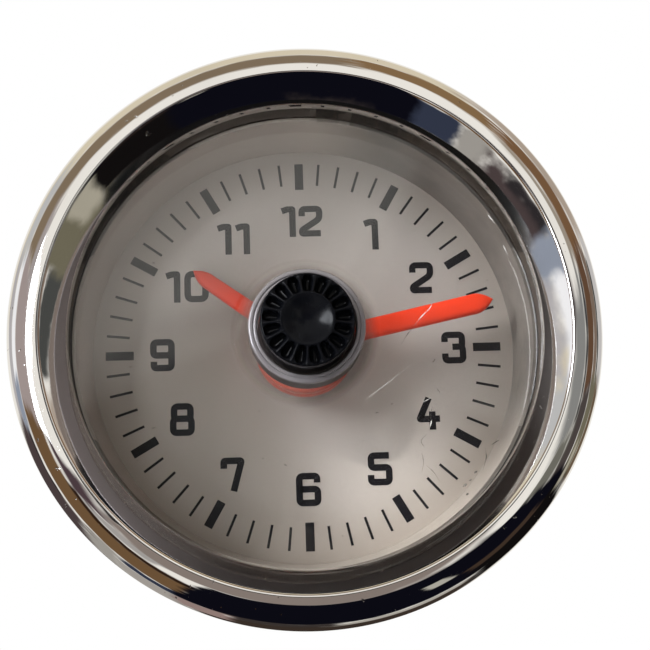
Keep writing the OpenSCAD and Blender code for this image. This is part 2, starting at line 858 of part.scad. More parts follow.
module knob_spring() {
    n = spring_sides;
    points = [for (i = [0:spring_count], p = spring_ring(i)) p];
    sides = [for (i = [0:spring_count - 1], k = [0:n - 1], half = [0, 1])
        let (a = i * n + k, b = i * n + (k + 1) % n)
        half == 0 ? [a, a + n, b] : [b, a + n, b + n]];
    first = [for (k = [1:n - 2]) [0, k, k + 1]];
    end = spring_count * n;
    last = [for (k = [1:n - 2]) [end, end + k + 1, end + k]];
    color("#c0c4c8") facing() polyhedron(points, concat(sides, first, last));
}

module thrust_washer() {
    color("#c8b27a") facing() {
        ring(spring_r + spring_wire + rim_gap, stem_r + run_clear, washer_back, washer_front);
    }
}

// A flute has two round ends, and straight sides that touch both
module knob() {
    edge = 0.12;
    land = 0.06;
    steps = 10;
    dish_r = knob_top_r - edge;
    inner = knob_top_r + land + flute_in_r;
    outer = knob_r - edge - land - flute_r;
    lean = asin((flute_r - flute_in_r) / (outer - inner));
    in_end = [for (i = [0:steps]) let (a = 90 + lean + (180 - 2 * lean) * i / steps)
        [inner + flute_in_r * cos(a), flute_in_r * sin(a)]];
    out_end = [for (i = [0:steps]) let (a = (90 + lean) * (2 * i / steps - 1))
        [outer + flute_r * cos(a), flute_r * sin(a)]];
    color("#15171c") facing() difference() {
        turned(concat(
            [[0, skirt_back], [knob_r - edge, skirt_back], [knob_r, skirt_back + edge],
                [knob_r, face_back - edge], [knob_r - edge, face_back], [knob_top_r, knob_front]],
            [for (i = [0:5]) let (r = dish_r * (1 - i / 5))
                [r, knob_front - dish_depth * (1 - pow(r / dish_r, 2))]]
        ));
        disc(hollow_r, skirt_back - 1, washer_front);
        disc(stem_r, washer_front - 1, stem_front);
        for (i = [0:flutes - 1]) rotate(360 * i / flutes) {
            slab(knob_front - flute_depth, knob_front + 1) polygon(concat(in_end, out_end));
        }
    }
}

module knob_stem() {
    color("#b8bcc2") facing() difference() {
        disc(stem_r, stem_back, stem_front);
        ring(stem_r + 1, clip_groove_r, clip_back, clip_front);
    }
}

// An open clip that snaps into the stem's groove from the side
module retaining_clip() {
    mouth = 1.6 * clip_groove_r;
    color("#6f747a") facing() slab(clip_back, clip_front) difference() {
        circle(clip_r);
        circle(clip_groove_r);
        translate([-mouth / 2, 0]) square([mouth, 2 * clip_r]);
        for (side = [-1, 1]) translate([side * clip_r * 0.72, -clip_r * 0.3]) circle(clip_r * 0.2);
    }
}

module drive_pad() {
    color("#2a2b2d") facing() disc(pad_r, pad_back, stem_back);
}

module minute_hand() {
    cap = minute_front - minute_cap;
    color("#f0441e") facing() rotate(-minute_angle) difference() {
        hand(minute_len, minute_tip_w, minute_back, minute_front);
        disc(cannon_r, minute_back - 1, cap);
    }
}

module cannon_pinion() {
    color("#d8b65c") facing() difference() {
        union() {
            slab(lower_back, lower_front) gear(cannon_teeth, motion_way);
            disc(cannon_r, lower_front - 0.1, minute_front - minute_cap);
        }
        disc(arbor_r, lower_back - 1, minute_front - minute_cap - 1);
    }
}

module centre_arbor() {
    color("#b9bdc2") facing() {
        disc(arbor_r, rear_plate_front + free_clear, minute_front - minute_cap - 1);
        disc(pivot_r, rear_plate_back + free_clear, rear_plate_front + 1);
    }
}

module centre_wheel() {
    color("#d8b65c") facing() slab(centre_back, centre_front) {
        crossed_wheel(wheel_teeth, slow_way, 2, 1.2);
    }
}

module hour_hand() {
    color("#f0441e") facing() rotate(-hour_angle) difference() {
        hand(hour_len, hour_tip_w, hour_back, hour_front);
        disc(hour_pipe_r, hour_back - 1, hour_front + 1);
    }
}

module hour_wheel() {
    color("#e6e2d6") facing() difference() {
        union() {
            slab(upper_back, upper_front) gear(wheel_teeth, motion_way);
            disc(hour_pipe_r, upper_front - 0.1, hour_front);
        }
        disc(cannon_r + run_clear, upper_back - 1, hour_front + 1);
    }
}

module motion_wheel() {
    color("#e6e2d6") facing() translate(motion_at) difference() {
        union() {
            slab(lower_back, lower_front) gear(motion_teeth, facing_gap(motion_way, motion_teeth));
            slab(lower_front - 0.1, upper_front) gear(pinion_teeth, facing_gap(motion_way, pinion_teeth));
        }
        disc(arbor_r + run_clear, lower_back - 1, upper_front + 1);
    }
}

module slow_wheel() {
    color("#d8b65c") facing() translate(slow_at) slab(slow_back, slow_front) {
        crossed_wheel(slow_teeth, fast_way, 2, 1.2);
    }
}

module slow_pinion() {
    color("#b9bdc2") facing() translate(slow_at) {
        slab(centre_back, centre_front) gear(pinion_teeth, facing_gap(slow_way, pinion_teeth));
        pivoted_arbor();
    }
}

module fast_wheel() {
    color("#e6e2d6") facing() translate(fast_at) slab(fast_back, fast_front) {
        crossed_wheel(wheel_teeth, rotor_way, 2, 1.2);
    }
}

module fast_pinion() {
    color("#b9bdc2") facing() translate(fast_at) {
        slab(slow_back, slow_front) gear(pinion_teeth, facing_gap(fast_way, pinion_teeth));
        pivoted_arbor();
    }
}

module rotor_pinion() {
    color("#e6e2d6") facing() translate(rotor_at) {
        slab(fast_back, fast_front) gear(pinion_teeth, facing_gap(rotor_way, pinion_teeth));
        pivoted_arbor();
    }
}

module rotor_magnet() {
    color("#4a4d52") facing() translate(rotor_at) ring(magnet_r, arbor_r, magnet_back, magnet_front);
}

housing();
bezel();
lens_gasket();
lens();
dial_ring();
dial_plate();
light_guide();
front_plate();
back_plate();
plate_pillars();
plate_screws();
stator();
coil_core();
coil_bobbin();
coil_winding();
circuit_board();
board_screws();
quartz_crystal();
timing_chip();
capacitor();
resistor();
diode();
blade_terminals();
lamp_holder();
lamp_bulb();
rear_studs();
stud_washers();
stud_nuts();
knob_spring();
thrust_washer();
knob();
knob_stem();
retaining_clip();
drive_pad();
minute_hand();
cannon_pinion();
centre_arbor();
centre_wheel();
hour_hand();
hour_wheel();
motion_wheel();
slow_wheel();
slow_pinion();
fast_wheel();
fast_pinion();
rotor_pinion();
rotor_magnet();
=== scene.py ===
import json
import math

import bmesh
import bpy
import numpy as np
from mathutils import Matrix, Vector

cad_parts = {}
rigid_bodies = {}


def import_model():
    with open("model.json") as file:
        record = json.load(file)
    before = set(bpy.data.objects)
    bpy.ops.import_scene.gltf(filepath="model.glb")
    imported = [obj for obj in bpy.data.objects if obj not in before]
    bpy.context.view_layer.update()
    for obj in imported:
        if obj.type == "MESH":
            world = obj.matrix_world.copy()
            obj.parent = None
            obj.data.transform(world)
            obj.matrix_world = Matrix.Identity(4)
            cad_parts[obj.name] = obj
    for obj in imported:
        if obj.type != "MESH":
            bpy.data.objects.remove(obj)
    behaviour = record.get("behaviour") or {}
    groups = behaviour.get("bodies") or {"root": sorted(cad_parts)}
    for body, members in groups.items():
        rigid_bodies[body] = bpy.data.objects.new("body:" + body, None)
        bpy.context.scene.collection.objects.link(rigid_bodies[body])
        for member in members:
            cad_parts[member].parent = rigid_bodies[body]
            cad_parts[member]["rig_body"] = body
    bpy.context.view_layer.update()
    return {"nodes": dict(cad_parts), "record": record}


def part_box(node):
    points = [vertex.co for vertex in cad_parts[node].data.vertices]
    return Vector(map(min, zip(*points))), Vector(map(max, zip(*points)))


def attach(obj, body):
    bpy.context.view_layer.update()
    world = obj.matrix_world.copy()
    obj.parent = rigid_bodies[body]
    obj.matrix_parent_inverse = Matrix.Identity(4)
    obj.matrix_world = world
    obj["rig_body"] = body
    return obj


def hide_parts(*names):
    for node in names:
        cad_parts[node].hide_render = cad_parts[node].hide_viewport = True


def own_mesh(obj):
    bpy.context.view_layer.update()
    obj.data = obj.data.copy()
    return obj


bl_info = {
    "name": "Dashboard Clock",
    "version": (1, 0, 0),
    "blender": (4, 5, 0),
    "location": "View3D > Sidebar > Clock",
    "description": "Fine surfaces and finishes for a round dashboard clock with a setting knob in its window",
    "category": "Object",
}

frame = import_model()
MM = 0.001


def reach(node):
    """Half a solid's width, and the heights of its back and front towards the viewer, in millimetres."""
    low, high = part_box(node)
    return (high.x - low.x) / 2 / MM, -high.y / MM, -low.y / MM


BEZEL_R, CREST = reach("bezel")[::2]
WINDOW_R, BOSS_BACK, COLLAR_TOP = reach("lens")
KNOB_R, SKIRT_BACK, KNOB_TOP = reach("knob")
DIAL_FRONT = reach("dial_plate")[2]
MINUTE_BACK, MINUTE_FRONT = reach("minute_hand")[1:]
HOUR_BACK, HOUR_FRONT = reach("hour_hand")[1:]
SPRING_BACK, SPRING_FRONT = reach("knob_spring")[1:]
# Heights inside the window's box: the pane's back and front, the top of its step and the floor of its well
WINDOW_BACK, WINDOW_FRONT, STEP_TOP, WELL = 2.8, 4.8, 5.1, 4.4
SLOTS = {part["node"]: part["material_slot"] for part in frame["record"]["subparts"]}


# Sizes and colours that a user would change

def length(name, description, millimetres):
    return bpy.props.FloatProperty(
        name=name, description=description, default=millimetres * MM, unit="LENGTH", precision=5, min=0.0)


def colour(name, description, value):
    return bpy.props.FloatVectorProperty(
        name=name, description=description, default=value, subtype="COLOR", size=3, min=0.0, max=1.0)


class ClockSizes(bpy.types.PropertyGroup):
    tick_outer: length("Tick outer radius", "Radius at which every minute mark ends", 21.8)
    tick_minor: length("Minute tick inner radius", "Radius at which a thin minute mark starts", 19.28)
    tick_major: length("Hour tick inner radius", "Radius at which a wide hour mark starts", 18.74)
    tick_minor_width: length("Minute tick width", "Width of a thin minute mark", 0.28)
    tick_major_width: length("Hour tick width", "Width of a wide hour mark", 0.95)
    print_height: length("Print thickness", "How far the print stands on the dial", 0.03)
    numeral_height: length("Numeral height", "Height of a numeral from foot to top", 3.6)
    numeral_width: length("Numeral width", "Width of a full numeral", 2.7)
    numeral_stroke: length("Numeral stroke", "Width of the strokes of a numeral", 0.72)
    flute_depth: length("Flute depth", "Depth of the flutes in the knob's face", 0.85)
    thread_pitch: length("Thread pitch", "Pitch of the thread on the rear studs", 0.7)
    turns: bpy.props.IntProperty(
        name="Turns", description="Steps round the axis of a large turned piece", default=384, min=48, max=768)


class ClockColours(bpy.types.PropertyGroup):
    chrome: colour("Chrome", "Colour of the bezel's plating", (0.86, 0.85, 0.84))
    dial: colour("Dial", "Satin silver paint of the dial", (0.50, 0.455, 0.415))
    ink: colour("Print", "Ink of the marks and numerals", (0.004, 0.004, 0.006))
    hand: colour("Hands", "Moulded orange of the hands", (0.80, 0.042, 0.007))
    knob: colour("Knob", "Black moulding of the knob", (0.0020, 0.0022, 0.0030))
    wall: colour("Dial ring", "Grey wall between dial and window", (0.33, 0.29, 0.25))
    housing: colour("Housing", "Black moulding of the can", (0.017, 0.018, 0.020))


# Surfaces: each is an array of points in millimetres and an array of face corners

def grid_faces(rows, columns, ring_rows=False, ring_columns=False):
    """Four corners for each cell of a grid; a ring joins its last row or column to its first."""
    row = np.arange(rows if ring_rows else rows - 1)[:, None] * columns
    next_row = (row + columns) % (rows * columns)
    column = np.arange(columns if ring_columns else columns - 1)[None, :]
    next_column = (column + 1) % columns
    return np.stack([row + column, row + next_column, next_row + next_column, next_row + column], -1).reshape(-1, 4)


def arc(centre, radii, start, end, steps):
    """Points at even angles, in degrees, on a circle, or on an ellipse with two radii."""
    a = np.radians(np.linspace(start, end, steps))
    return np.array(centre) + np.stack([np.cos(a), np.sin(a)], 1) * radii


def round_axis(r, h, turn, centre_x=0.0):
    """Points round an axis towards the viewer: x and z are the radius times the sine and cosine of the
    turn, and y is the height reversed."""
    return np.stack([centre_x + r * np.sin(turn), -h + 0 * turn, r * np.cos(turn)], -1)


def turned(profile, turns, closed=True, centre_x=0.0):
    """A profile of radii and heights carried once round an axis towards the viewer."""
    profile = np.asarray(profile, float)
    a = np.linspace(0, 2 * np.pi, turns, endpoint=False)
    points = round_axis(profile[:, :1], profile[:, 1:], a, centre_x)
    return points.reshape(-1, 3), grid_faces(len(profile), turns, closed, True)


def carried(sections):
    """A closed profile carried along a path: one row of points for each station, and both ends drawn
    in to the middle of their own section."""
    ends = [np.broadcast_to(s.mean(0), s.shape)[None] for s in (sections[0], sections[-1])]
    points = np.concatenate([ends[0], sections, ends[1]])
    return points.reshape(-1, 3), grid_faces(points.shape[0], points.shape[1], False, True)


def rounded(corners, radius, closed=False, steps=6):
    """A line whose corners are drawn round: each becomes a parabola from a point on the side before it
    to a point on the side after it, both a given distance from the corner, and never past half a side."""
    most = 0.48
    p = np.asarray(corners, float)
    before, after = np.roll(p, 1, 0) - p, np.roll(p, -1, 0) - p
    long_before, long_after = np.linalg.norm(before, axis=1), np.linalg.norm(after, axis=1)
    cut = np.minimum(radius, most * np.minimum(long_before, long_after))[:, None]
    if not closed:
        cut[[0, -1]] = 0
    start, end = p + before * cut / long_before[:, None], p + after * cut / long_after[:, None]
    t = np.linspace(0, 1, steps)[None, :, None]
    curve = (1 - t) ** 2 * start[:, None] + 2 * t * (1 - t) * p[:, None] + t ** 2 * end[:, None]
    if closed:
        return curve.reshape(-1, 2)
    return np.concatenate([p[:1], curve[1:-1].reshape(-1, 2), p[-1:]])


def bar(line, width, back, front, closed=False):
    """A flat bar along a line that faces the viewer: its two edges lie half its width to either side of
    the line, mitred where the line bends, once at its back and once at its front."""
    mitre_limit = 0.3
    line = np.asarray(line, float)
    step = np.roll(line, -1, 0) - line
    step /= np.maximum(np.linalg.norm(step, axis=1), 1e-9)[:, None]
    last = np.roll(step, 1, 0)
    if not closed:
        step[-1], last[0] = step[-2], step[0]
    side, other = (np.stack([-s[:, 1], s[:, 0]], 1) for s in (step, last))
    out = side + other
    out *= (np.broadcast_to(width, len(line)) / np.maximum(1 + (side * other).sum(1), mitre_limit))[:, None] / 2
    left, right = line + out, line - out
    rows = np.stack([
        np.stack([edge[:, 0], np.full(len(line), -h), edge[:, 1]], 1)
        for edge, h in ((left, front), (right, front), (right, back), (left, back))], 1)
    faces = grid_faces(len(line), 4, closed, True)
    if not closed:
        end = 4 * (len(line) - 1)
        faces = np.concatenate([faces, [[0, 1, 2, 3], [end + 3, end + 2, end + 1, end]]])
    return rows.reshape(-1, 3), faces


def dress(piece, finish, body, node, crease):
    """Gives a new piece its finish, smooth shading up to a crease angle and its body."""
    bpy.context.scene.collection.objects.link(piece)
    piece.data.materials.clear()
    piece.data.materials.append(finish)
    piece.data.shade_smooth()
    piece.data.set_sharp_from_angle(angle=math.radians(crease))
    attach(piece, body)
    if node:
        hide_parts(node)
    return piece


def merge_doubles(mesh, distance, turn_out):
    """Merges points that lie within a distance in metres, and turns the faces outwards where asked."""
    shape = bmesh.new()
    shape.from_mesh(mesh)
    bmesh.ops.remove_doubles(shape, verts=shape.verts, dist=distance)
    if turn_out:
        bmesh.ops.recalc_face_normals(shape, faces=shape.faces)
    shape.to_mesh(mesh)
    shape.free()


def make_piece(name, shells, body, slot, node=None, crease=35.0, finish=None):
    """Puts closed shells into one mesh in metres, with doubles merged and faces turned outwards. Its finish is
    its slot's unless another is given, and it stands for a node where one is named."""
    starts = np.cumsum([0] + [len(points) for points, faces in shells])
    points = np.concatenate([points for points, faces in shells]) * MM
    faces = np.concatenate([np.asarray(faces) + start for (_, faces), start in zip(shells, starts)])
    mesh = bpy.data.meshes.new(name)
    mesh.from_pydata(points.tolist(), [], faces.tolist())
    merge_doubles(mesh, 2e-7, True)
    return dress(bpy.data.objects.new(name, mesh), finish or finish_for(slot), body, node, crease)


def smooth_copy(node):
    """A copy of a solid's surface with its loose triangles merged, so that round faces shade smoothly."""
    source = frame["nodes"][node]
    mesh = source.data.copy()
    merge_doubles(mesh, 1e-6, False)
    piece = bpy.data.objects.new(node + "_skin", mesh)
    return dress(piece, finish_for(SLOTS[node]), source["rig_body"], node, 32.0)


# Finishes

def both_ways(operation):
    """An operator that adds a Math node, and its reflected form, as in 1 - mask."""
    def plain(self, other):
        return self.maths(operation, self, other)

    def reflected(self, other):
        return self.maths(operation, other, self)

    return plain, reflected


class Value:
    """One socket of a finish. Arithmetic on it adds Math nodes to the same finish."""

    def __init__(self, paint, node, socket):
        self.paint, self.node, self.socket = paint, node, socket

    def maths(self, operation, *values):
        return self.paint.node("ShaderNodeMath", {"operation": operation}, dict(enumerate(values)))

    __add__, __radd__ = both_ways("ADD")
    __sub__, __rsub__ = both_ways("SUBTRACT")
    __mul__, __rmul__ = both_ways("MULTIPLY")
    __truediv__, __rtruediv__ = both_ways("DIVIDE")
    __pow__, __rpow__ = both_ways("POWER")

    def sine(self):
        return self.maths("SINE", self)

    def root(self):
        return self.maths("SQRT", self)

    def turn(self, other):
        return self.maths("ARCTAN2", self, other)

    def off(self, low, high):
        """How far it lies outside a span: less than nought inside."""
        return self.maths("ABSOLUTE", self - (low + high) / 2) - (high - low) / 2

    def step(self, low, high):
        """Rises smoothly from nought at low to one at high."""
        return self.paint.node("ShaderNodeMapRange", {"interpolation_type": "SMOOTHSTEP", "clamp": True},
                               {"Value": self, "From Min": low, "From Max": high})

    def out(self, name):
        return Value(self.paint, self.node, self.node.outputs[name])


class Paint:
    """The node tree of one finish, or of the surround."""

    def __init__(self, name, kind="materials"):
        self.owner = getattr(bpy.data, kind).new(name)
        self.owner.use_nodes = True
        self.tree = self.owner.node_tree
        self.tree.nodes.clear()
        self.place = self.node("ShaderNodeTexCoord", {}, {}, "Object")

    def node(self, kind, settings, sockets, output=0):
        """Adds a node: its settings first, then values or links for its sockets; gives one output."""
        node = self.tree.nodes.new(kind)
        for key, value in settings.items():
            if key == "stops":
                ramp = node.color_ramp.elements
                while len(ramp) < len(value):
                    ramp.new(0.5)
                for element, (position, shade) in zip(ramp, value):
                    element.position, element.color = position, (*shade, 1.0)
            else:
                setattr(node, key, value)
        for key, value in sockets.items():
            socket = node.inputs[key]
            if isinstance(value, Value):
                self.tree.links.new(value.socket, socket)
            elif hasattr(value, "__len__"):
                size = len(socket.default_value)
                socket.default_value = (tuple(value) + (1.0,))[:size]
            else:
                socket.default_value = value
        return Value(self, node, node.outputs[output]) if node.outputs else node

    def noise(self, scale, detail, stretch=None):
        """A cloud between nought and one, scaled along the axes where asked."""
        place = self.place
        if stretch:
            place = self.node("ShaderNodeMapping", {}, {"Vector": place, "Scale": stretch})
        return self.node("ShaderNodeTexNoise", {}, {
            "Vector": place, "Scale": scale, "Detail": detail, "Roughness": 0.55})

    def mix(self, share, first, second):
        """The first colour, with a share of the second over it."""
        return self.node("ShaderNodeMix", {"data_type": "RGBA"}, {0: share, 6: first, 7: second}, 2)

    def axes(self):
        """Metres to the right, to the back and up."""
        split = self.node("ShaderNodeSeparateXYZ", {}, {"Vector": self.place}, "X")
        return split, split.out("Y"), split.out("Z")

    def radius(self):
        """Metres from the axis of the hands."""
        x, _, z = self.axes()
        return (x * x + z * z).root()

    def bump(self, height, distance, strength):
        return self.node("ShaderNodeBump", {}, {"Strength": strength, "Distance": distance, "Height": height})

    def shader(self, sockets):
        return self.node("ShaderNodeBsdfPrincipled", {}, sockets)

    def seen(self):
        """One for rays that reach the viewer at once, by a mirror or through a clear piece."""
        light = self.node("ShaderNodeLightPath", {}, {}, "Is Camera Ray")
        return (light + light.out("Is Glossy Ray") + light.out("Is Transmission Ray")).step(0.0, 1.0)

    def surface(self, shader):
        end = "ShaderNodeOutputWorld" if isinstance(self.owner, bpy.types.World) else "ShaderNodeOutputMaterial"
        self.node(end, {}, {"Surface": shader})
        return self.owner


def toned(base, share):
    """A colour made darker or paler by one share of all three."""
    return tuple(share * c for c in base)


def chrome_plate(base):
    """Mirror plating with faint polishing smears, a dulled film in places and small dark pits."""
    p = Paint("chrome plate")
    film = p.noise(70, 4).step(0.42, 0.75)
    pits = p.noise(1500, 2).step(0.70, 0.76) * p.noise(120, 2).step(0.5, 0.62)
    return p.surface(p.shader({
        "Base Color": p.mix(pits, p.mix(film, base, toned(base, 0.93)), (0.16, 0.14, 0.12)),
        "Metallic": 1.0, "Roughness": 0.025 + 0.05 * film + 0.3 * pits,
        "Normal": p.bump(p.noise(260, 2) * 0.35 - pits, 0.00003, 0.5)}))


def clear_pane():
    """A clear sheet: mostly see-through, mirrored more at low angles, with a thin film of wear, and a dark film of
    dirt and painted shade round the foot of its collar."""
    p = Paint("clear pane")
    slant = p.node("ShaderNodeLayerWeight", {}, {"Blend": 0.5}, "Facing")
    mirror = p.shader({"Base Color": (1.0, 1.0, 1.0), "Metallic": 1.0, "Roughness": 0.015})
    clear = p.node("ShaderNodeBsdfTransparent", {}, {"Color": (0.985, 0.985, 0.98)})
    film = p.shader({"Base Color": (0.78, 0.77, 0.74), "Roughness": 0.7})
    scuffs = p.noise(1800, 3, stretch=(1.0, 1.0, 0.12)).step(0.66, 0.78) * p.noise(90, 3).step(0.5, 0.7)
    haze = 0.001 + 0.004 * p.noise(55, 4).step(0.4, 0.75) + 0.08 * scuffs
    sheet = p.node("ShaderNodeMixShader", {}, {0: 0.04 + 0.96 * slant ** 5, 1: clear, 2: mirror})
    # Dirt and painted shade: a dark film round the foot of the collar, where shadow falls
    grime_and_shade = p.shader({"Base Color": (0.10, 0.075, 0.06), "Roughness": 0.6})
    near = (1 - p.radius().step(0.0062, 0.0078)) * (0.25 + 0.25 * p.noise(300, 3))
    film_and_lit_top = p.node("ShaderNodeMixShader", {}, {0: haze, 1: sheet, 2: film})
    return p.surface(p.node("ShaderNodeMixShader", {}, {0: near, 1: film_and_lit_top, 2: grime_and_shade}))


def clear_moulding(name, tint):
    """Clear plastic that bends light, with faint scuffs that dull it."""
    p = Paint(name)
    return p.surface(p.shader({
        "Base Color": tint, "IOR": 1.49, "Transmission Weight": 1.0,
        "Roughness": 0.02 + 0.12 * p.noise(900, 3).step(0.62, 0.8)}))


def milky_collar():
    """The thick middle of the window: clear plastic that has gone grey and milky, its top painted pale and glossy as
    painted light and its walls dark as painted shade.
    """
    p = Paint("milky collar")
    y = p.axes()[1]
    # Painted light: the top face is paler and glossier than the walls, which are painted in shade
    film_and_lit_top = (-1 * y).step((COLLAR_TOP - 0.35) * MM, (COLLAR_TOP - 0.02) * MM) * (0.75 + 0.25 * p.noise(700, 3))
    return p.surface(p.shader({
        "Base Color": p.mix(film_and_lit_top, (0.055, 0.045, 0.042), (0.30, 0.28, 0.29)),
        "Roughness": 0.10 + 0.06 * p.noise(1200, 3) + 0.5 * (1 - film_and_lit_top), "IOR": 1.49, "Metallic": 0.55 * film_and_lit_top,
        "Transmission Weight": 0.2, "Coat Weight": film_and_lit_top, "Normal": p.bump(p.noise(1600, 2), 0.000004, 0.4)}))


def window_mark(name, tone, low, high):
    """A scratch or crack in the window: its tone shows more in some places than in others."""
    p = Paint(name)
    clear = p.node("ShaderNodeBsdfTransparent", {}, {})
    mark = p.shader({"Base Color": tone, "Roughness": 0.5})
    return p.surface(p.node("ShaderNodeMixShader", {}, {
        0: low + (high - low) * p.noise(1400, 3).step(0.38, 0.62), 1: clear, 2: mark}))


def satin_dial(base):
    """Silver paint: flakes of slightly different tone, a faint cloud and a fine orange-peel, with painted shade
    that darkens it towards the rim and low on the left."""
    p = Paint("satin dial")
    flakes = p.node("ShaderNodeTexVoronoi", {"feature": "F1"}, {"Vector": p.place, "Scale": 5200}, "Color")
    cloud = p.noise(45, 4)
    spots = p.noise(1100, 2).step(0.755, 0.775)
    tone = p.mix(cloud.step(0.3, 0.7), toned(base, 0.95), toned(base, 1.05))
    speck = p.node("ShaderNodeSeparateColor", {}, {"Color": flakes}, "Red")
    tone = p.mix(0.06 * speck, tone, (0.85, 0.82, 0.78))
    # Painted shade: darker towards the rim, under the bezel
    tone = p.mix(0.4 * p.radius().step(0.016, 0.0235), tone, (0.17, 0.13, 0.09))
    x, _, z = p.axes()
    # Painted shade: darker low on the left, less so near the rim
    dull_spots_and_shade = (-1 * x - 0.2 * z).step(-0.003, 0.007) * (-1 * z).step(-0.009, -0.003)
    dull_spots_and_shade = dull_spots_and_shade * (1 - 0.6 * p.radius().step(0.018, 0.022))
    tone = p.mix(0.36 * dull_spots_and_shade, tone, (0.075, 0.048, 0.022))
    return p.surface(p.shader({
        "Base Color": p.mix(0.55 * spots, tone, (0.12, 0.10, 0.09)),
        "Metallic": 0.25, "Roughness": 0.42 + 0.08 * cloud,
        "Normal": p.bump(p.noise(2600, 2), 0.000006, 0.6)}))


def dial_ink(base):
    """Screen-printed ink with a slightly thin, speckled lay."""
    p = Paint("dial ink")
    thin = p.noise(1500, 3).step(0.56, 0.78)
    return p.surface(p.shader({
        "Base Color": p.mix(0.06 * thin, base, (0.10, 0.095, 0.10)),
        "Roughness": 0.42 + 0.2 * thin, "Specular IOR Level": 0.15, "Normal": p.bump(thin, 0.000008, 0.5)}))


def ring_wall(base):
    """The grey wall round the dial: a satin moulding, dusty in clouds, with painted shade darkest on its upper right.
    """
    p = Paint("ring wall")
    x, _, z = p.axes()
    cloud, fine = p.noise(140, 4), p.noise(1400, 3)
    tone = p.mix(0.25 * cloud.step(0.45, 0.8), base, toned(base, 1.25))
    # Painted shade: darker on the upper right
    dark = (x + 0.5 * z).step(0.013, 0.021) * (0.5 + 0.3 * p.noise(420, 4))
    return p.surface(p.shader({
        "Base Color": p.mix(dark, tone, toned(base, 0.06)),
        "Roughness": 0.40 + 0.16 * (fine - 0.5), "Normal": p.bump(fine, 0.00001, 0.6)}))


def moulded(name, base, roughness, grain=1400.0, depth=0.00001, dust=0.25, gloss=0.5):
    """Moulded plastic: cloudy tone, a fine grain, and a little pale dust."""
    p = Paint(name)
    cloud = p.noise(140, 4)
    fine = p.noise(grain, 3)
    pale = tuple(min(1.0, 1.25 * c + 0.012) for c in base)
    tone = p.mix(dust * cloud.step(0.45, 0.8), base, pale)
    return p.surface(p.shader({
        "Base Color": tone, "Roughness": roughness + 0.16 * (fine - 0.5) + 0.1 * (cloud - 0.5),
        "Specular IOR Level": gloss, "Normal": p.bump(fine, depth, 0.6)}))


def machined(name, base, roughness, lines=9000.0, dark=0.8):
    """Metal turned on a lathe or drawn: fine rings round the axis, tarnish in clouds."""
    p = Paint(name)
    rings = (p.radius() * lines + 2.0 * p.noise(300, 2)).sine()
    tarnish = p.noise(160, 4).step(0.42, 0.75)
    return p.surface(p.shader({
        "Base Color": p.mix(tarnish, base, toned(base, dark)), "Metallic": 1.0,
        "Roughness": roughness + 0.05 * rings + 0.14 * tarnish,
        "Normal": p.bump(rings * 0.3 + p.noise(1800, 2), 0.000008, 0.5)}))


def zinc_plate(base):
    """Bright zinc: a faint bluish and straw passivation, rough spots and drawn lines."""
    p = Paint("zinc plate")
    film = p.noise(220, 4)
    tone = p.node("ShaderNodeValToRGB", {"stops": [
        (0.30, toned(base, 0.86)), (0.50, base), (0.68, (base[0], 0.95 * base[1], 0.80 * base[2]))]},
        {"Fac": film})
    dull_spots_and_shade = p.noise(700, 3).step(0.55, 0.75)
    return p.surface(p.shader({
        "Base Color": tone, "Metallic": 1.0, "Roughness": 0.26 + 0.22 * dull_spots_and_shade,
        "Normal": p.bump(p.noise(1600, 3, stretch=(1.0, 0.15, 1.0)), 0.00001, 0.6)}))


def wound_copper(base):
    """Enamelled wire laid side by side along the coil: one ridge for each turn, with painted shade in the grooves
    between turns.
    """
    p = Paint("wound copper")
    wire = 0.00022
    x = p.axes()[0]
    turns = (x * (2 * math.pi / wire) + 1.2 * p.noise(400, 2)).sine()
    return p.surface(p.shader({
        # Painted shade: darker in the grooves between turns
        "Base Color": p.mix(turns.step(-1.0, 0.6), toned(base, 0.4), base),
        "Metallic": 0.85, "Roughness": 0.28 + 0.1 * p.noise(600, 2), "Coat Weight": 0.5,
        "Normal": p.bump(turns, 0.00006, 0.8)}))


def etched_board(base):
    """Green lacquer over copper: paler tracks in steps, a glass weave underneath."""
    p = Paint("etched board")
    x, _, z = p.axes()
    weave = (x * 9000).sine() * (z * 9000).sine()
    tracks = p.node("ShaderNodeTexBrick", {"offset": 0.35, "squash": 1.6, "squash_frequency": 2}, {
        "Vector": p.node("ShaderNodeMapping", {}, {"Vector": p.place, "Rotation": (math.pi / 2, 0.0, 0.0)}),
        "Scale": 260.0, "Mortar Size": 0.07, "Mortar Smooth": 0.1}, "Fac")
    tone = p.mix(tracks, base, (0.10, 0.30, 0.12))
    return p.surface(p.shader({
        "Base Color": p.mix(0.25 * weave.step(-0.4, 0.9), tone, toned(base, 0.6)),
        "Roughness": 0.30 + 0.1 * p.noise(500, 3), "Coat Weight": 0.4,
        "Normal": p.bump(tracks + 0.2 * weave, 0.00003, 0.6)}))


def banded_ceramic(base):
    """A tan body with four colour bands across its length."""
    p = Paint("banded ceramic")
    low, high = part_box("resistor")
    along = (p.axes()[0] - low.x) / (high.x - low.x)
    tone = base
    for place, shade in ((0.28, (0.18, 0.07, 0.02)), (0.40, (0.02, 0.02, 0.02)),
                         (0.52, (0.55, 0.06, 0.03)), (0.70, (0.62, 0.42, 0.10))):
        tone = p.mix(along.step(place - 0.025, place - 0.015) * (1 - along.step(place + 0.015, place + 0.025)),
                     tone, shade)
    return p.surface(p.shader({
        "Base Color": tone, "Roughness": 0.38 + 0.2 * p.noise(900, 3),
        "Normal": p.bump(p.noise(1200, 2), 0.00001, 0.6)}))


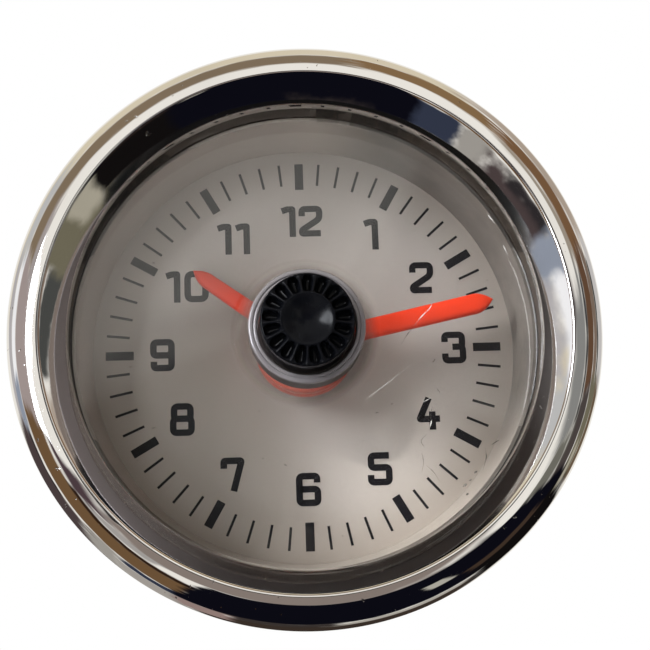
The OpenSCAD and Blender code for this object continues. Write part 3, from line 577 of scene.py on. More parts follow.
def make_finishes(colours):
    """All the finishes by the slot that they fill."""
    steel = (0.60, 0.60, 0.61)
    brass = (0.72, 0.50, 0.20)
    return {
        "chrome_bezel": chrome_plate(tuple(colours.chrome)),
        "clear_window": clear_pane(),
        "black_rubber": moulded("black rubber", (0.10, 0.080, 0.065), 0.72, grain=900.0, depth=0.00002),
        "grey_ring": ring_wall(tuple(colours.wall)),
        "silver_dial": satin_dial(tuple(colours.dial)),
        "clear_guide": clear_moulding("clear guide", (0.93, 0.96, 0.95)),
        "orange_hands": moulded("orange hands", tuple(colours.hand), 0.42, grain=1300.0, depth=0.000006, dust=0.3,
                                gloss=0.25),
        "black_knob": moulded("black knob", tuple(colours.knob), 0.17, grain=1500.0, depth=0.000003, dust=0.1,
                              gloss=0.10),
        "bright_steel": machined("bright steel", steel, 0.24),
        "yellow_brass": machined("yellow brass", brass, 0.26),
        "ivory_plastic": moulded("ivory plastic", (0.72, 0.67, 0.54), 0.42),
        "soft_iron": machined("soft iron", (0.40, 0.41, 0.42), 0.42, lines=4000.0, dark=0.7),
        "copper_wire": wound_copper((0.62, 0.24, 0.08)),
        "green_board": etched_board((0.03, 0.14, 0.06)),
        "crystal_can": machined("crystal can", (0.66, 0.66, 0.66), 0.22, lines=5000.0),
        "black_resin": moulded("black resin", (0.014, 0.014, 0.015), 0.5, grain=2200.0, depth=0.000012),
        "blue_sleeve": moulded("blue sleeve", (0.02, 0.035, 0.11), 0.3, grain=700.0, depth=0.000006),
        "tan_ceramic": banded_ceramic((0.56, 0.40, 0.21)),
        "tinned_brass": machined("tinned brass", (0.62, 0.58, 0.48), 0.34, lines=7000.0, dark=0.82),
        "lamp_plastic": moulded("lamp plastic", (0.035, 0.037, 0.040), 0.45, grain=1100.0, depth=0.000014),
        "lamp_glass": clear_moulding("lamp glass", (0.98, 0.97, 0.93)),
        "housing_black": moulded("housing black", tuple(colours.housing), 0.5, grain=1000.0, depth=0.00002,
                                 dust=0.35),
        "zinc_steel": zinc_plate((0.63, 0.64, 0.65)),
    }


FINISHES = {}


def finish_for(slot):
    """The finish of a slot; the first call makes them all."""
    if not FINISHES:
        FINISHES.update(make_finishes(bpy.context.scene.clock_colours))
    return FINISHES[slot]


# Pieces

class CLOCK_OT_movement(bpy.types.Operator):
    """Gives every solid that keeps its own shape the finish of its slot"""
    bl_idname = "clock.movement"
    bl_label = "Finish the movement"

    def execute(self, context):
        for node, piece in frame["nodes"].items():
            piece.data.materials.clear()
            piece.data.materials.append(finish_for(SLOTS[node]))
        return {"FINISHED"}


class CLOCK_OT_bezel(bpy.types.Operator):
    """Turns the bezel: a sheet with a rolled rear edge, a quarter-round flank, a crest, a bowed slope
    and a hemmed lip"""
    bl_idname = "clock.bezel"
    bl_label = "Bezel"

    def execute(self, context):
        shoulder, sheet, edge_round, roll_r = 7.8, 0.8, 0.8, 26.6
        crest_r, crest_round, lip_r, lip_round, lip_drop = 26.85, 0.5, 24.2, 0.45, 2.5
        rise = CREST - shoulder
        crest = np.array([crest_r, CREST - crest_round])
        lip = np.array([lip_r + lip_round, crest[1] - lip_drop])
        slope, bow = 90 + math.degrees(math.atan2(*(crest - lip)[::-1])), 2.2
        top, low = arc(crest, crest_round, 85, slope - bow, 14), arc(lip, lip_round, slope + bow, 180, 14)
        chord, way = low[0] - top[-1], np.linspace(0, 1, 16)[1:-1, None]
        bulge = math.tan(math.radians(bow)) * way * (1 - way) * chord[::-1] * [1, -1]
        profile = np.concatenate([
            arc((BEZEL_R - edge_round, edge_round), edge_round, -90, 0, 10),
            arc((crest_r, shoulder), (BEZEL_R - crest_r, rise), 0, 78, 44),
            top, top[-1] + way * chord + bulge, low,
            [(lip_r, (lip[1] + WINDOW_FRONT) / 2), (lip[0], WINDOW_FRONT), (lip[0] + sheet, WINDOW_FRONT)],
            arc((crest_r, shoulder), (BEZEL_R - crest_r - sheet, rise - sheet), 72, 0, 10),
            [(BEZEL_R - sheet, sheet), (roll_r, sheet), (roll_r, 0.0)]])
        make_piece("bezel_ring", [turned(profile, context.scene.clock_sizes.turns)],
                   "case", "chrome_bezel", "bezel", 50.0)
        return {"FINISHED"}


class CLOCK_OT_window(bpy.types.Operator):
    """Turns the clear pane with its step, and its milky middle: a disc with a boss behind it, and the collar
    that stands round the knob"""
    bl_idname = "clock.window"
    bl_label = "Window"

    def execute(self, context):
        turns = context.scene.clock_sizes.turns
        bore, boss, well_r, collar_r, step_r, step_slant, fit = 1.55, 3.0, 5.05, 5.95, 7.5, 0.3, 0.01
        groove, groove_half, groove_depth, inner_drop = well_r + 0.36, 0.08, 0.09, 0.02
        pane = rounded([
            (well_r, WINDOW_BACK), (WINDOW_R, WINDOW_BACK), (WINDOW_R, WINDOW_FRONT),
            (step_r + step_slant, WINDOW_FRONT), (step_r, STEP_TOP), (well_r, STEP_TOP)], 0.1, True, 4)
        make_piece("window_pane", [turned(pane, turns)], "case", "clear_window", "lens", 10.0)
        disc = rounded([
            (bore, BOSS_BACK), (boss, BOSS_BACK), (boss, WINDOW_BACK), (well_r - fit, WINDOW_BACK),
            (well_r - fit, WELL), (bore, WELL)], 0.05, True, 4)
        inner_top = COLLAR_TOP - inner_drop
        collar = rounded([
            (well_r, STEP_TOP + fit), (collar_r, STEP_TOP + fit), (collar_r, COLLAR_TOP),
            (groove + groove_half, COLLAR_TOP), (groove, COLLAR_TOP - groove_depth),
            (groove - groove_half, inner_top), (well_r, inner_top)],
            np.array([0.05, 0.05, 0.26, 0.06, 0.03, 0.06, 0.16]), True, 8)
        middle = make_piece("window_collar", [turned(disc, turns), turned(collar, turns)],
                            "case", "clear_window", "lens", 60.0, milky_collar())
        # Light goes through the collar to the hands and the dial
        middle.visible_shadow = False
        return {"FINISHED"}


# Marks on the window, across and up the dial: the middle lines of the pale scratches and of the dark cracks, and
# the middles and widths of the dark flecks
SCRATCHES = [
    [(13.3, 3.1), (13.0, 2.3), (11.9, 1.3), (11.2, 0.4)], [(11.7, -7.6), (12.7, -7.1)], [(12.3, -10.2), (12.5, -9.4)],
    [(10.6, -3.7), (8.2, -5.5), (5.8, -7.2)], [(19.5, 12.4), (20.3, 11.2)], [(21.0, 8.9), (21.5, 7.6)],
]
CRACKS = [
    [(11.2, 0.4), (10.4, -0.5), (9.7, -1.6)], [(13.2, -6.2), (13.5, -6.7)], [(12.6, -8.1), (12.3, -9.4)],
    [(11.9, -10.9), (11.2, -11.6), (11.6, -12.2)], [(11.3, -12.8), (11.5, -13.7), (11.2, -14.8)],
    [(11.7, -14.1), (12.4, -14.7), (13.0, -15.8)], [(18.4, -12.2), (19.3, -11.7)],
    [(17.8, -12.5), (17.9, -13.4), (17.4, -14.8)],
]
FLECKS = [(16.7, -14.9, 0.34), (15.5, -16.2, 0.42), (16.1, -15.7, 0.26), (15.7, -17.1, 0.3), (8.5, -7.7, 0.2)]


class CLOCK_OT_wear(bpy.types.Operator):
    """Marks the window: thin bars along bent lines for scratches and cracks, narrow at both ends, and short bars
    for flecks"""
    bl_idname = "clock.wear"
    bl_label = "Wear on the window"

    def execute(self, context):
        back, front = WINDOW_FRONT - 0.01, WINDOW_FRONT + 0.012
        scratch_width, crack_width = 0.09, 0.07

        def mark(line, width):
            line = rounded(line, 0.4) if len(line) > 2 else np.linspace(*line, 5)
            return bar(line, width * (0.25 + np.sin(np.linspace(0, np.pi, len(line)))), back, front)

        scratches = [mark(line, scratch_width) for line in SCRATCHES]
        cracks = [mark(line, crack_width) for line in CRACKS]
        flecks = [mark([(x - wide / 2, z - wide / 3), (x + wide / 2, z + wide / 3)], wide / 2)
                  for x, z, wide in FLECKS]
        make_piece("window_scratches", scratches, "case", "clear_window",
                   finish=window_mark("pale scratch", (0.80, 0.78, 0.74), 0.15, 0.70))
        make_piece("window_cracks", cracks + flecks, "case", "clear_window",
                   finish=window_mark("dark crack", (0.10, 0.09, 0.08), 0.12, 0.42))
        return {"FINISHED"}


class CLOCK_OT_dial(bpy.types.Operator):
    """Smooth skins for the dial plate, its ring and the rubber ring"""
    bl_idname = "clock.dial"
    bl_label = "Dial"

    def execute(self, context):
        for node in ("dial_plate", "dial_ring", "lens_gasket"):
            smooth_copy(node)
        return {"FINISHED"}


class CLOCK_OT_marks(bpy.types.Operator):
    """Prints the sixty minute marks: each is a flat bar along a radius, wider and longer on the hours"""
    bl_idname = "clock.marks"
    bl_label = "Minute marks"

    def execute(self, context):
        s = context.scene.clock_sizes
        front = DIAL_FRONT + s.print_height / MM
        shells = []
        for minute in range(60):
            a = math.radians(6 * minute)
            inner, width = (s.tick_minor, s.tick_minor_width) if minute % 5 else (s.tick_major, s.tick_major_width)
            radii = np.linspace(inner, s.tick_outer, 3)[:, None] / MM
            shells.append(bar(radii * [[math.sin(a), math.cos(a)]], width / MM, DIAL_FRONT, front))
        make_piece("minute_marks", shells, "case", "silver_dial",
                   finish=dial_ink(tuple(context.scene.clock_colours.ink)))
        return {"FINISHED"}


# Middle lines of the numerals in a box from -1 to 1 each way: corners, rounding, and whether the line closes
NUMERALS = {
    "0": [([(-1, -1), (1, -1), (1, 1), (-1, 1)], 0.6, True)],
    "1": [([(-0.9, 0.86), (-0.28, 1), (0.3, 1), (0.3, -1.25)], 0.05, False)],
    "2": [([(-1, 0.42), (-1, 1), (1, 1), (1, 0.18), (-1, -0.72), (-1, -1), (1.12, -1)], 0.42, False)],
    "3": [([(-1, 0.45), (-1, 1), (0.96, 1), (0.96, 0.06), (-0.15, 0.06)], 0.4, False),
          ([(-0.15, 0.06), (1, 0.06), (1, -1), (-1, -1), (-1, -0.45)], 0.4, False)],
    "4": [([(0.1, 1.2), (-1, -0.42), (1.25, -0.42)], 0.15, False),
          ([(0.42, 0.15), (0.42, -1.25)], 0.05, False)],
    "5": [([(1.05, 1), (-0.95, 1), (-0.95, 0.1), (1, 0.1), (1, -1), (-1, -1), (-1, -0.45)], 0.4, False)],
    "6": [([(0.95, 0.5), (0.95, 1), (-1, 1), (-1, -1), (1, -1), (1, 0.02), (-1, 0.02)], 0.42, False)],
    "7": [([(-1, 0.42), (-1, 1), (0.95, 1), (0.05, -1.28)], 0.22, False)],
    "8": [([(-0.9, 0.06), (0.9, 0.06), (0.9, 1), (-0.9, 1)], 0.45, True),
          ([(-1, -1), (1, -1), (1, 0.06), (-1, 0.06)], 0.45, True)],
    "9": [([(-0.95, -0.5), (-0.95, -1), (1, -1), (1, 1), (-1, 1), (-1, -0.02), (1, -0.02)], 0.42, False)],
}
# Numeral, its middle across and up the dial, and the distance between the middles of two figures
HOURS = [
    ("12", 0.0, 15.0, 2.35), ("1", 8.1, 13.3, 0), ("2", 13.4, 8.1, 0), ("3", 16.6, 0.0, 0),
    ("4", 13.4, -7.3, 0), ("5", 7.8, -13.2, 0), ("6", 0.0, -15.2, 0), ("7", -8.1, -13.3, 0),
    ("8", -13.5, -7.2, 0), ("9", -15.6, 0.0, 0), ("10", -13.0, 7.7, 2.45), ("11", -7.4, 13.1, 2.05),
]


class CLOCK_OT_numerals(bpy.types.Operator):
    """Prints the twelve numerals: flat bars along rounded middle lines, upright on the dial"""
    bl_idname = "clock.numerals"
    bl_label = "Numerals"

    def execute(self, context):
        s = context.scene.clock_sizes
        stroke = s.numeral_stroke / MM
        half = np.array([s.numeral_width / MM - stroke, s.numeral_height / MM - stroke]) / 2
        front = DIAL_FRONT + s.print_height / MM
        shells, layer_drop = [], 0.002
        for figures, x, z, apart in HOURS:
            for i, figure in enumerate(figures):
                middle = np.array([x + apart * (i - (len(figures) - 1) / 2), z])
                for layer, (corners, rounding, closed) in enumerate(NUMERALS[figure]):
                    line = rounded(np.array(corners) * half + middle, rounding, closed)
                    # A figure's second stroke lies lower, so that no two faces share a plane
                    shells.append(bar(line, stroke, DIAL_FRONT, front - layer_drop * layer, closed))
        make_piece("numerals", shells, "case", "silver_dial",
                   finish=dial_ink(tuple(context.scene.clock_colours.ink)))
        return {"FINISHED"}


def hand_blade(long, hub_w, tip_w, tip_len, angle, back, front):
    """A hand's blade: a squared oval carried out from the hub. Its half width runs straight to the tip,
    then falls as one less the square of the way along the tip, and it thins a little there. Its front falls
    as the square of the way across."""
    start, blunt, tip_thinned, crown = 4.0, 0.992, 0.35, 0.10
    t = np.linspace(0, 2 * np.pi, 28, endpoint=False)
    across = np.sign(np.cos(t)) * np.abs(np.cos(t)) ** 0.4
    up = np.sign(np.sin(t)) * np.abs(np.sin(t)) ** 0.55
    way = np.concatenate([np.linspace(start, long - tip_len, 12),
                          long - tip_len * (1 - np.linspace(0, blunt, 20)[1:])])
    along_tip = np.clip((way - long + tip_len) / tip_len, 0, 1)
    half = (hub_w + (tip_w - hub_w) * way / (long - tip_len)) / 2
    half = np.where(along_tip > 0, tip_w / 2 * (1 - along_tip ** 2), half)[:, None]
    thick = (front - back) / 2 * (1 - tip_thinned * along_tip ** 2)[:, None]
    height = (front + back) / 2 + thick * up - crown * across ** 2 * (up > 0)
    s, a = way[:, None], math.radians(angle)
    points = np.stack([s * math.sin(a) + half * across * math.cos(a), -height,
                       s * math.cos(a) - half * across * math.sin(a)], -1)
    return carried(points)


def hub_edge(r, back, front):
    """The outer edge of a hub: a quarter round at its front and a smaller one at its back."""
    soft, sharp = 0.25, 0.1
    return np.concatenate([arc((r - soft, front - soft), soft, 90, 0, 8),
                           arc((r - sharp, back + sharp), sharp, 0, -90, 4)])


class CLOCK_OT_hands(bpy.types.Operator):
    """Moulds both hands: a rounded blade that ends in a point, on a round hub with soft edges"""
    bl_idname = "clock.hands"
    bl_label = "Hands"

    def execute(self, context):
        hub_r, minute_bore, hour_bore, inside_top = 5.4, 1.5, 2.3, MINUTE_FRONT - 0.4
        minute_hub = np.concatenate([
            [(0.0, MINUTE_FRONT)], hub_edge(hub_r, MINUTE_BACK, MINUTE_FRONT),
            [(minute_bore, MINUTE_BACK), (minute_bore, inside_top), (0.0, inside_top)]])
        minute = make_piece("minute_hand_moulding", [
            turned(minute_hub, 128, False),
            hand_blade(long=21.0, hub_w=2.1, tip_w=2.2, tip_len=2.0, angle=78.0,
                       back=MINUTE_BACK, front=MINUTE_FRONT)],
            "minute", "orange_hands", "minute_hand", 45.0)
        hour_hub = np.concatenate([
            [(hour_bore, HOUR_FRONT)], hub_edge(hub_r, HOUR_BACK, HOUR_FRONT), [(hour_bore, HOUR_BACK)]])
        hour = make_piece("hour_hand_moulding", [
            turned(hour_hub, 128),
            hand_blade(long=14.91, hub_w=2.1, tip_w=1.7, tip_len=2.0, angle=306.5,
                       back=HOUR_BACK, front=HOUR_FRONT)],
            "hour", "orange_hands", "hour_hand", 45.0)
        # The plating mirrors the room alone
        minute.visible_glossy = hour.visible_glossy = False
        return {"FINISHED"}


class CLOCK_OT_knob(bpy.types.Operator):
    """Moulds the knob: a straight side, a nearly flat face with seventeen flutes and a dished middle. A flute
    goes straight down: its depth follows one less the squares of the way across it and past its round ends.
    The ridge between two flutes is bowed across"""
    bl_idname = "clock.knob"
    bl_label = "Setting knob"

    def execute(self, context):
        flutes, columns, top_r, rise, dish, edge = 17, 42, 2.67, 0.3, 0.5, 0.2
        skirt_edge, dish_lip, ridge_bow = 0.12, 0.08, 0.10
        washer_front, hollow_r, face_h = 8.0, 3.56, KNOB_TOP - rise
        inside = [(0.0, washer_front), (hollow_r, washer_front),
                  (hollow_r, SKIRT_BACK), (KNOB_R - skirt_edge, SKIRT_BACK)]
        side = np.stack([np.full(5, KNOB_R), np.linspace(SKIRT_BACK + skirt_edge, face_h - edge, 5)], 1)
        shoulder = arc((KNOB_R - edge, face_h - edge), edge, 0, 82, 8)[1:]
        face_r = np.linspace(KNOB_R - edge, top_r, 66)
        face = np.stack([face_r, KNOB_TOP - rise * (face_r - top_r) / (KNOB_R - edge - top_r)], 1)
        bowl_r = np.linspace(top_r - dish_lip, 0, 24)
        bowl = np.stack([bowl_r, KNOB_TOP - dish * (1 - (bowl_r / bowl_r[0]) ** 2) ** 1.3], 1)
        profile = np.concatenate([inside, side, shoulder, face, bowl])
        r, h = profile[:, :1], profile[:, 1:]
        inner, outer, inner_half, outer_half = 3.17, 3.99, 0.44, 0.57
        half_width = np.interp(r, [inner, outer], [inner_half, outer_half])
        half = np.arcsin(half_width / np.maximum(r, inner - inner_half))
        # Columns crowd towards the two sides of a flute, and a few lie on the ridge between two flutes
        t, share = np.linspace(-1, 1, columns, endpoint=False)[None, :], 0.72
        across = np.where(np.abs(t) < share, np.sin(t / share * np.pi / 2), np.sign(t))
        ridge = np.sign(t) * np.clip((np.abs(t) - share) / (1 - share), 0, 1)
        turn = half * across + (np.pi / flutes - half) * ridge
        past_inner = np.clip((inner - r) / inner_half, 0, None)
        past_outer = np.clip((r - outer) / outer_half, 0, None)
        on_face = np.zeros(len(profile), bool)
        on_face[len(profile) - len(bowl) - len(face):len(profile) - len(bowl)] = True
        room_left = np.clip(1 - across ** 2 - past_inner ** 2 - past_outer ** 2, 0, 1) * on_face[:, None]
        level = np.clip(1 - past_inner ** 2 - past_outer ** 2, 0, 1) ** 0.5 * on_face[:, None]
        depth = context.scene.clock_sizes.flute_depth / MM
        h = h - depth * room_left ** 0.4 - ridge_bow * level * (1 - np.abs(ridge)) ** 2
        first = math.radians(1.4)
        around = (np.arange(flutes)[:, None] * 2 * np.pi / flutes + first + turn[:, None]).reshape(len(profile), -1)
        h, r = np.tile(h, (1, flutes)), np.tile(r, (1, flutes * columns))
        points = round_axis(r, h, around).reshape(-1, 3)
        make_piece("knob_moulding", [(points, grid_faces(len(profile), flutes * columns, False, True))],
                   "knob", "black_knob", "knob", 38.0)
        return {"FINISHED"}


class CLOCK_OT_spring(bpy.types.Operator):
    """Winds the return spring: a round wire carried along a helix"""
    bl_idname = "clock.spring"
    bl_label = "Return spring"

    def execute(self, context):
        mean_r, wire, curls, push = 2.4, 0.36, 3.5, 1.2
        a = np.linspace(0, 2 * np.pi * curls, 260)[:, None]
        b = np.linspace(0, 2 * np.pi, 14, endpoint=False)[None, :]
        low = SPRING_BACK + wire / 2
        height = low + (SPRING_FRONT - SPRING_BACK - wire) * a / a[-1] + wire / 2 * np.sin(b)
        r = mean_r + wire / 2 * np.cos(b) + 0 * a
        piece = make_piece("return_spring", [carried(np.stack([r * np.cos(a), -height, r * np.sin(a)], -1))],
                           "case", SLOTS["knob_spring"], "knob_spring", 50.0)
        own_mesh(piece)
        return {"FINISHED"}


class CLOCK_OT_housing(bpy.types.Operator):
    """Smooth skins for the can, the lamp holder and the blade terminals behind it"""
    bl_idname = "clock.housing"
    bl_label = "Housing"

    def execute(self, context):
        for node in ("housing", "lamp_holder", "blade_terminals"):
            smooth_copy(node)
        return {"FINISHED"}


class CLOCK_OT_fixings(bpy.types.Operator):
    """Cuts the threads of the two rear studs, whose radius falls and rises once in each pitch along a
    helix, and shapes their nuts, whose corners are turned off by a cone, and their washers"""
    bl_idname = "clock.fixings"
    bl_label = "Studs, nuts and washers"

    def execute(self, context):
        pitch = context.scene.clock_sizes.thread_pitch / MM
        stud_x, free_r, shank_r, chamfer, head_r, head_h = 15.0, 2.0, 2.5, 0.15, 3.75, 1.75
        back, shank_back, wall_front = reach("rear_studs")[1], -35.1, -29.8
        depth, crest_flat, root_flat, point_cut, point_slope = 0.61 * pitch, 0.08, 0.84, 0.55, 0.9
        shells = []
        for side in (-1, 1):
            a = np.linspace(0, 2 * np.pi, 40, endpoint=False)[None, :]
            h = np.linspace(back, shank_back, 300)[:, None]
            phase = np.mod(h / pitch + a / (2 * np.pi), 1)
            r = free_r - depth * np.clip(2 * np.abs(phase - 0.5) - crest_flat, 0, root_flat)
            r = np.minimum(r, free_r - point_cut + (h - back) * point_slope)
            hexagon = head_r * math.cos(math.pi / 6) / np.cos(np.mod(np.pi / 2 - a, np.pi / 3) - np.pi / 6)
            rings = ((r, h), (shank_r - chamfer, shank_back), (shank_r, shank_back + chamfer), (shank_r, wall_front),
                     (hexagon, wall_front), (hexagon, wall_front + head_h))
            shells.append(carried(np.concatenate([round_axis(*ring, a, side * stud_x) for ring in rings])))
        make_piece("threaded_studs", shells, "case", SLOTS["rear_studs"], "rear_studs", 28.0)
        nut_back, nut_front = reach("stud_nuts")[1:]
        washer_back, washer_front = reach("stud_washers")[1:]
        half_flats, cone_r, cone_slope, washer_r, turns = 4.0, 3.95, 1.7, 5.0, 96
        nut_bore, washer_bore = shank_r + 0.02, shank_r + 0.1
        nuts, washers = [], []
        for side in (-1, 1):
            a = np.linspace(0, 2 * np.pi, turns, endpoint=False)[None, :]
            flat = half_flats / np.cos(np.mod(a + np.pi / 6, np.pi / 3) - np.pi / 6)
            near = np.array([0, 0.06, 0.12, 0.2, 0.3, 0.45, 0.7, 1.0])
            h = np.concatenate([nut_back + near, nut_front - near[::-1]])[:, None]
            near = np.minimum(h - nut_back, nut_front - h)
            r = np.concatenate([np.minimum(flat + 0 * h, cone_r + cone_slope * near), np.full((2, turns), nut_bore)])
            h = np.concatenate([h, [[nut_front], [nut_back]]])
            points = round_axis(r, h, a, side * stud_x)
            nuts.append((points.reshape(-1, 3), grid_faces(len(r), turns, True, True)))
            washer = rounded([(washer_bore, washer_back), (washer_r, washer_back),
                              (washer_r, washer_front), (washer_bore, washer_front)], 0.15, True, 4)
            washers.append(turned(washer, turns, centre_x=side * stud_x))
        make_piece("hexagon_nuts", nuts, "case", SLOTS["stud_nuts"], "stud_nuts", 25.0)
        make_piece("flat_washers", washers, "case", SLOTS["stud_washers"], "stud_washers", 35.0)
        return {"FINISHED"}


# Stage

def card(name, points, faces, shader):
    """A surface that belongs to the stage, in metres."""
    mesh = bpy.data.meshes.new(name)
    mesh.from_pydata(np.asarray(points).tolist(), [], np.asarray(faces).tolist())
    mesh.materials.append(shader)
    thing = bpy.data.objects.new(name, mesh)
    bpy.context.scene.collection.objects.link(thing)
    return thing


# What the plating mirrors: angles away from the viewer's side, angles clockwise from straight up,
# softness of the edge in degrees, and tone
ROOM_TONE = (0.93, 0.90, 0.84)
AREAS = {
    "pale wall above": ((73, 112), (-75, 32), 4, (0.74, 0.66, 0.50)),
    "pale wall right": ((80, 124), (30, 64), 6, (0.46, 0.38, 0.31)),
    "door": ((90, 124), (62, 92), 2, (0.60, 0.58, 0.57)),
    "beam above": ((42, 72), (-62, 12), 3, (0.24, 0.18, 0.12)),
    "beam right": ((46, 74), (10, 38), 3, (0.25, 0.155, 0.075)),
    "beam end": ((46, 77), (36, 66), 4, (0.20, 0.11, 0.055)),
    "pale edge": ((36, 46), (36, 62), 3, (0.36, 0.31, 0.25)),
    "shelf": ((66, 81), (64, 92), 2, (0.21, 0.155, 0.12)),
    "shelf edge": ((81, 89), (66, 92), 1.5, (0.07, 0.072, 0.068)),
    "shelf front": ((47, 66), (62, 92), 2, (0.13, 0.07, 0.04)),
    "shade": ((41, 47), (64, 96), 2, (0.05, 0.05, 0.05)),
    "grey cloth": ((23, 41), (60, 96), 3, (0.26, 0.26, 0.25)),
    "olive cloth": ((68, 92), (90, 113), 2, (0.17, 0.155, 0.105)),
    "olive cloth far": ((92, 116), (90, 113), 3, (0.15, 0.105, 0.065)),
    "olive cloth near": ((46, 67), (90, 113), 2, (0.075, 0.062, 0.058)),
    "grey cloth low": ((24, 46), (94, 112), 4, (0.17, 0.165, 0.14)),
    "window": ((68, 84), (264, 299), 2, (1.0, 1.0, 1.02)),
    "window sill": ((84, 106), (262, 299), 3, (0.50, 0.48, 0.49)),
    "window side": ((72, 102), (297, 315), 4, (0.55, 0.55, 0.55)),
    "curtain": ((36, 67), (266, 299), 2, (0.40, 0.335, 0.32)),
    "curtain edge": ((36, 47), (298, 316), 3, (0.40, 0.36, 0.35)),
    "lit curtain": ((26.5, 34.5), (271, 309), 2, (20.0, 20.8, 22.0)),
    "pale floor": ((84, 160), (208, 228), 3, (0.40, 0.37, 0.34)),
    "pale seat": ((68, 160), (226, 237), 2, (0.37, 0.35, 0.32)),
    "grey floor": ((75, 160), (236, 264), 3, (0.075, 0.055, 0.055)),
    "chair": ((35, 67), (209, 268), 2, (0.165, 0.095, 0.045)),
    "dark rail": ((74, 79.5), (244, 262), 2, (0.030, 0.026, 0.028)),
    "blue cloth": ((68, 84), (205, 226), 2, (0.034, 0.042, 0.070)),
    "window frame": ((68, 88), (262, 273), 2, (0.31, 0.345, 0.42)),
    "chair shade": ((30, 37), (210, 254), 1.5, (0.03, 0.015, 0.008)),
    "pale cloth": ((16, 29), (226, 251), 2, (0.40, 0.38, 0.365)),
    "pale cloth shade": ((16, 31), (252, 272), 3, (0.08, 0.052, 0.06)),
    "dark floor": ((92, 165), (138, 209), 4, (0.045, 0.032, 0.025)),
    "rug": ((85, 100), (143, 174), 3, (0.46, 0.43, 0.38)),
    "dark cloth": ((16, 83), (109, 212), 2, (0.004, 0.004, 0.008)),
    "dark cloth side": ((66, 126), (113, 141), 3, (0.006, 0.005, 0.005)),
    "floor below": ((79, 96), (173, 199), 3, (0.045, 0.036, 0.033)),
    "pink cloth": ((83, 126), (198, 211), 2, (0.32, 0.23, 0.21)),
    "pale strip": ((75, 84.5), (104, 114), 2, (0.42, 0.39, 0.31)),
    "bright spot": ((38, 52), (143, 149), 1, (0.46, 0.44, 0.38)),
    "brown patch": ((54, 67), (119, 140), 2, (0.055, 0.035, 0.024)),
    "near cloth": ((0, 16), (100, 260), 2, (0.26, 0.215, 0.19)),
    "front": ((0, 14.2), (-100, 100), 0.8, (0.03, 0.026, 0.026)),
    "front right": ((0, 26), (21, 60), 2, (0.10, 0.085, 0.085)),
}


def room():
    """A wide ball that only gloss sees. Each area of it lies inside a span of angles away from the viewer's
    side and a span of angles round the line of sight, and its edge wanders a little."""
    p = Paint("room")
    x, y, z = p.axes()
    degree = math.pi / 180
    level = -1 * y / (x * x + y * y + z * z).root()
    tilt = level.maths("ARCCOSINE", level) / degree
    wander = 3.4 * (p.noise(10, 4) - 0.5)
    tone = ROOM_TONE
    for tilts, turns, soft, shade in AREAS.values():
        edge = soft * wander
        middle, half = math.radians(sum(turns) / 2), (turns[1] - turns[0]) / 2
        sine, cosine = math.sin(middle), math.cos(middle)
        turn = (x * cosine - z * sine).turn(x * sine + z * cosine) / degree
        high, wide = (1 - (span + edge).step(-soft, soft) for span in (tilt.off(*tilts), turn.off(-half, half)))
        tone = p.mix(high * wide, tone, shade)
    ball_r = 900
    points, faces = turned(arc((0, 0), ball_r, -90, 90, 49), 96, False)
    ball = card("room", points * MM, faces, p.surface(p.node("ShaderNodeEmission", {}, {"Color": tone})))
    ball.visible_camera = ball.visible_diffuse = ball.visible_transmission = ball.visible_shadow = False


def lamp(name, place, aim, size, power, shade, beam=None):
    """A round lamp, or one with a narrow beam of a given width in degrees."""
    light = bpy.data.lights.new(name, "SPOT" if beam else "AREA")
    light.energy, light.color = power, shade
    if beam:
        light.spot_size, light.spot_blend, light.shadow_soft_size = math.radians(beam), 1.0, size / 2
    else:
        light.shape, light.size = "DISK", size
    thing = bpy.data.objects.new(name, light)
    thing.location = place
    direction = np.array(aim) - np.array(place)
    flat = math.hypot(direction[0], direction[1])
    heading = math.atan2(direction[1], direction[0]) - math.pi / 2
    thing.rotation_euler = (math.atan2(flat, -direction[2]), 0.0, heading)
    thing.visible_glossy = False
    bpy.context.scene.collection.objects.link(thing)


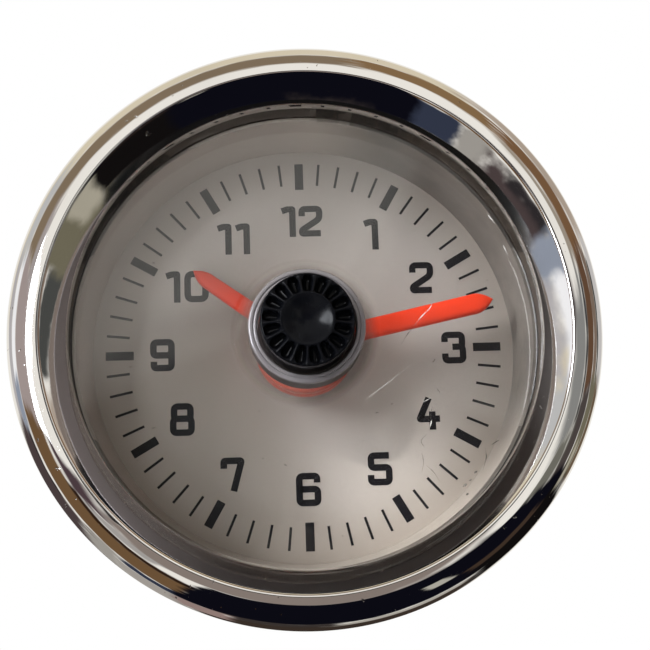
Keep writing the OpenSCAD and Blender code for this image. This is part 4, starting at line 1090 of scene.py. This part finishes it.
class CLOCK_OT_stage(bpy.types.Operator):
    """Sets the pale floor, the soft lamps, the white surround, the mirrored room and the camera"""
    bl_idname = "clock.stage"
    bl_label = "Stage"

    def execute(self, context):
        scene = context.scene
        scene.view_settings.view_transform = "Standard"
        floor_z = -0.038
        p = Paint("surround", "worlds")
        soft = p.node("ShaderNodeBackground", {}, {"Color": (1.0, 0.94, 0.88), "Strength": 0.20})
        white = p.node("ShaderNodeBackground", {}, {"Color": (1.0, 1.0, 1.0), "Strength": 1.0})
        scene.world = p.surface(p.node("ShaderNodeMixShader", {}, {0: p.seen(), 1: soft, 2: white}))

        p = Paint("pale floor")
        x, y, _ = p.axes()
        far = (x * x + y * y).root().step(0.05, 0.24)
        plain = p.shader({"Base Color": (0.80, 0.80, 0.80), "Roughness": 0.8})
        bright = p.node("ShaderNodeEmission", {}, {"Color": (1.0, 1.0, 1.0), "Strength": 1.0})
        paint = p.surface(p.node("ShaderNodeMixShader", {}, {0: p.seen() * (0.45 + 0.55 * far), 1: plain, 2: bright}))
        corners = [(-3, -3, floor_z), (3, -3, floor_z), (3, 3, floor_z), (-3, 3, floor_z)]
        floor = card("floor", corners, [(0, 1, 2, 3)], paint)
        floor.visible_glossy = False
        room()

        clock, low_right = (0, 0, 0), (0.0105, 0.002, -0.0200)
        lamp("key lamp", (-0.540, -0.275, 0.240), clock, size=0.36, power=11.3, shade=(0.92, 0.95, 1.0))
        lamp("top lamp", (-0.08, -0.40, 0.48), clock, size=0.30, power=0.5, shade=(1.0, 0.97, 0.93))
        lamp("glint", (-0.20, -0.46, 0.22), low_right, size=0.02, power=17.0, shade=(1.0, 0.98, 0.97), beam=2.6)
        lamp("rear lamp", (0.15, 0.50, 0.40), clock, size=0.35, power=2.4, shade=(1.0, 1.0, 1.0))

        camera = bpy.data.objects.new("camera", bpy.data.cameras.new("camera"))
        camera.data.sensor_width, camera.data.lens = 36.0, 72.034
        camera.data.clip_start = 0.005
        camera.location = (-0.003839, -0.13576, -0.028692)
        camera.rotation_euler = [math.radians(v) for v in (102.65993, 1.95753, -2.09361)]
        scene.collection.objects.link(camera)
        scene.camera = camera
        return {"FINISHED"}


OPERATORS = (
    CLOCK_OT_movement, CLOCK_OT_bezel, CLOCK_OT_window, CLOCK_OT_wear, CLOCK_OT_dial, CLOCK_OT_marks,
    CLOCK_OT_numerals, CLOCK_OT_hands, CLOCK_OT_knob, CLOCK_OT_spring, CLOCK_OT_housing, CLOCK_OT_fixings,
    CLOCK_OT_stage,
)


class CLOCK_PT_pieces(bpy.types.Panel):
    """Lists the clock's sizes, colours and pieces"""
    bl_idname = "CLOCK_PT_pieces"
    bl_label = "Dashboard clock"
    bl_space_type = "VIEW_3D"
    bl_region_type = "UI"
    bl_category = "Clock"

    def draw(self, context):
        for group in (context.scene.clock_sizes, context.scene.clock_colours):
            box = self.layout.box()
            for name in group.__annotations__:
                box.prop(group, name)
        for operator in OPERATORS:
            self.layout.operator(operator.bl_idname)


CLASSES = (ClockSizes, ClockColours, *OPERATORS, CLOCK_PT_pieces)


def register():
    for item in CLASSES:
        bpy.utils.register_class(item)
    bpy.types.Scene.clock_sizes = bpy.props.PointerProperty(type=ClockSizes)
    bpy.types.Scene.clock_colours = bpy.props.PointerProperty(type=ClockColours)


def unregister():
    del bpy.types.Scene.clock_colours
    del bpy.types.Scene.clock_sizes
    for item in reversed(CLASSES):
        bpy.utils.unregister_class(item)


def main():
    register()
    for operator in OPERATORS:
        family, name = operator.bl_idname.split(".")
        getattr(getattr(bpy.ops, family), name)()


if __name__ == "__main__":
    main()
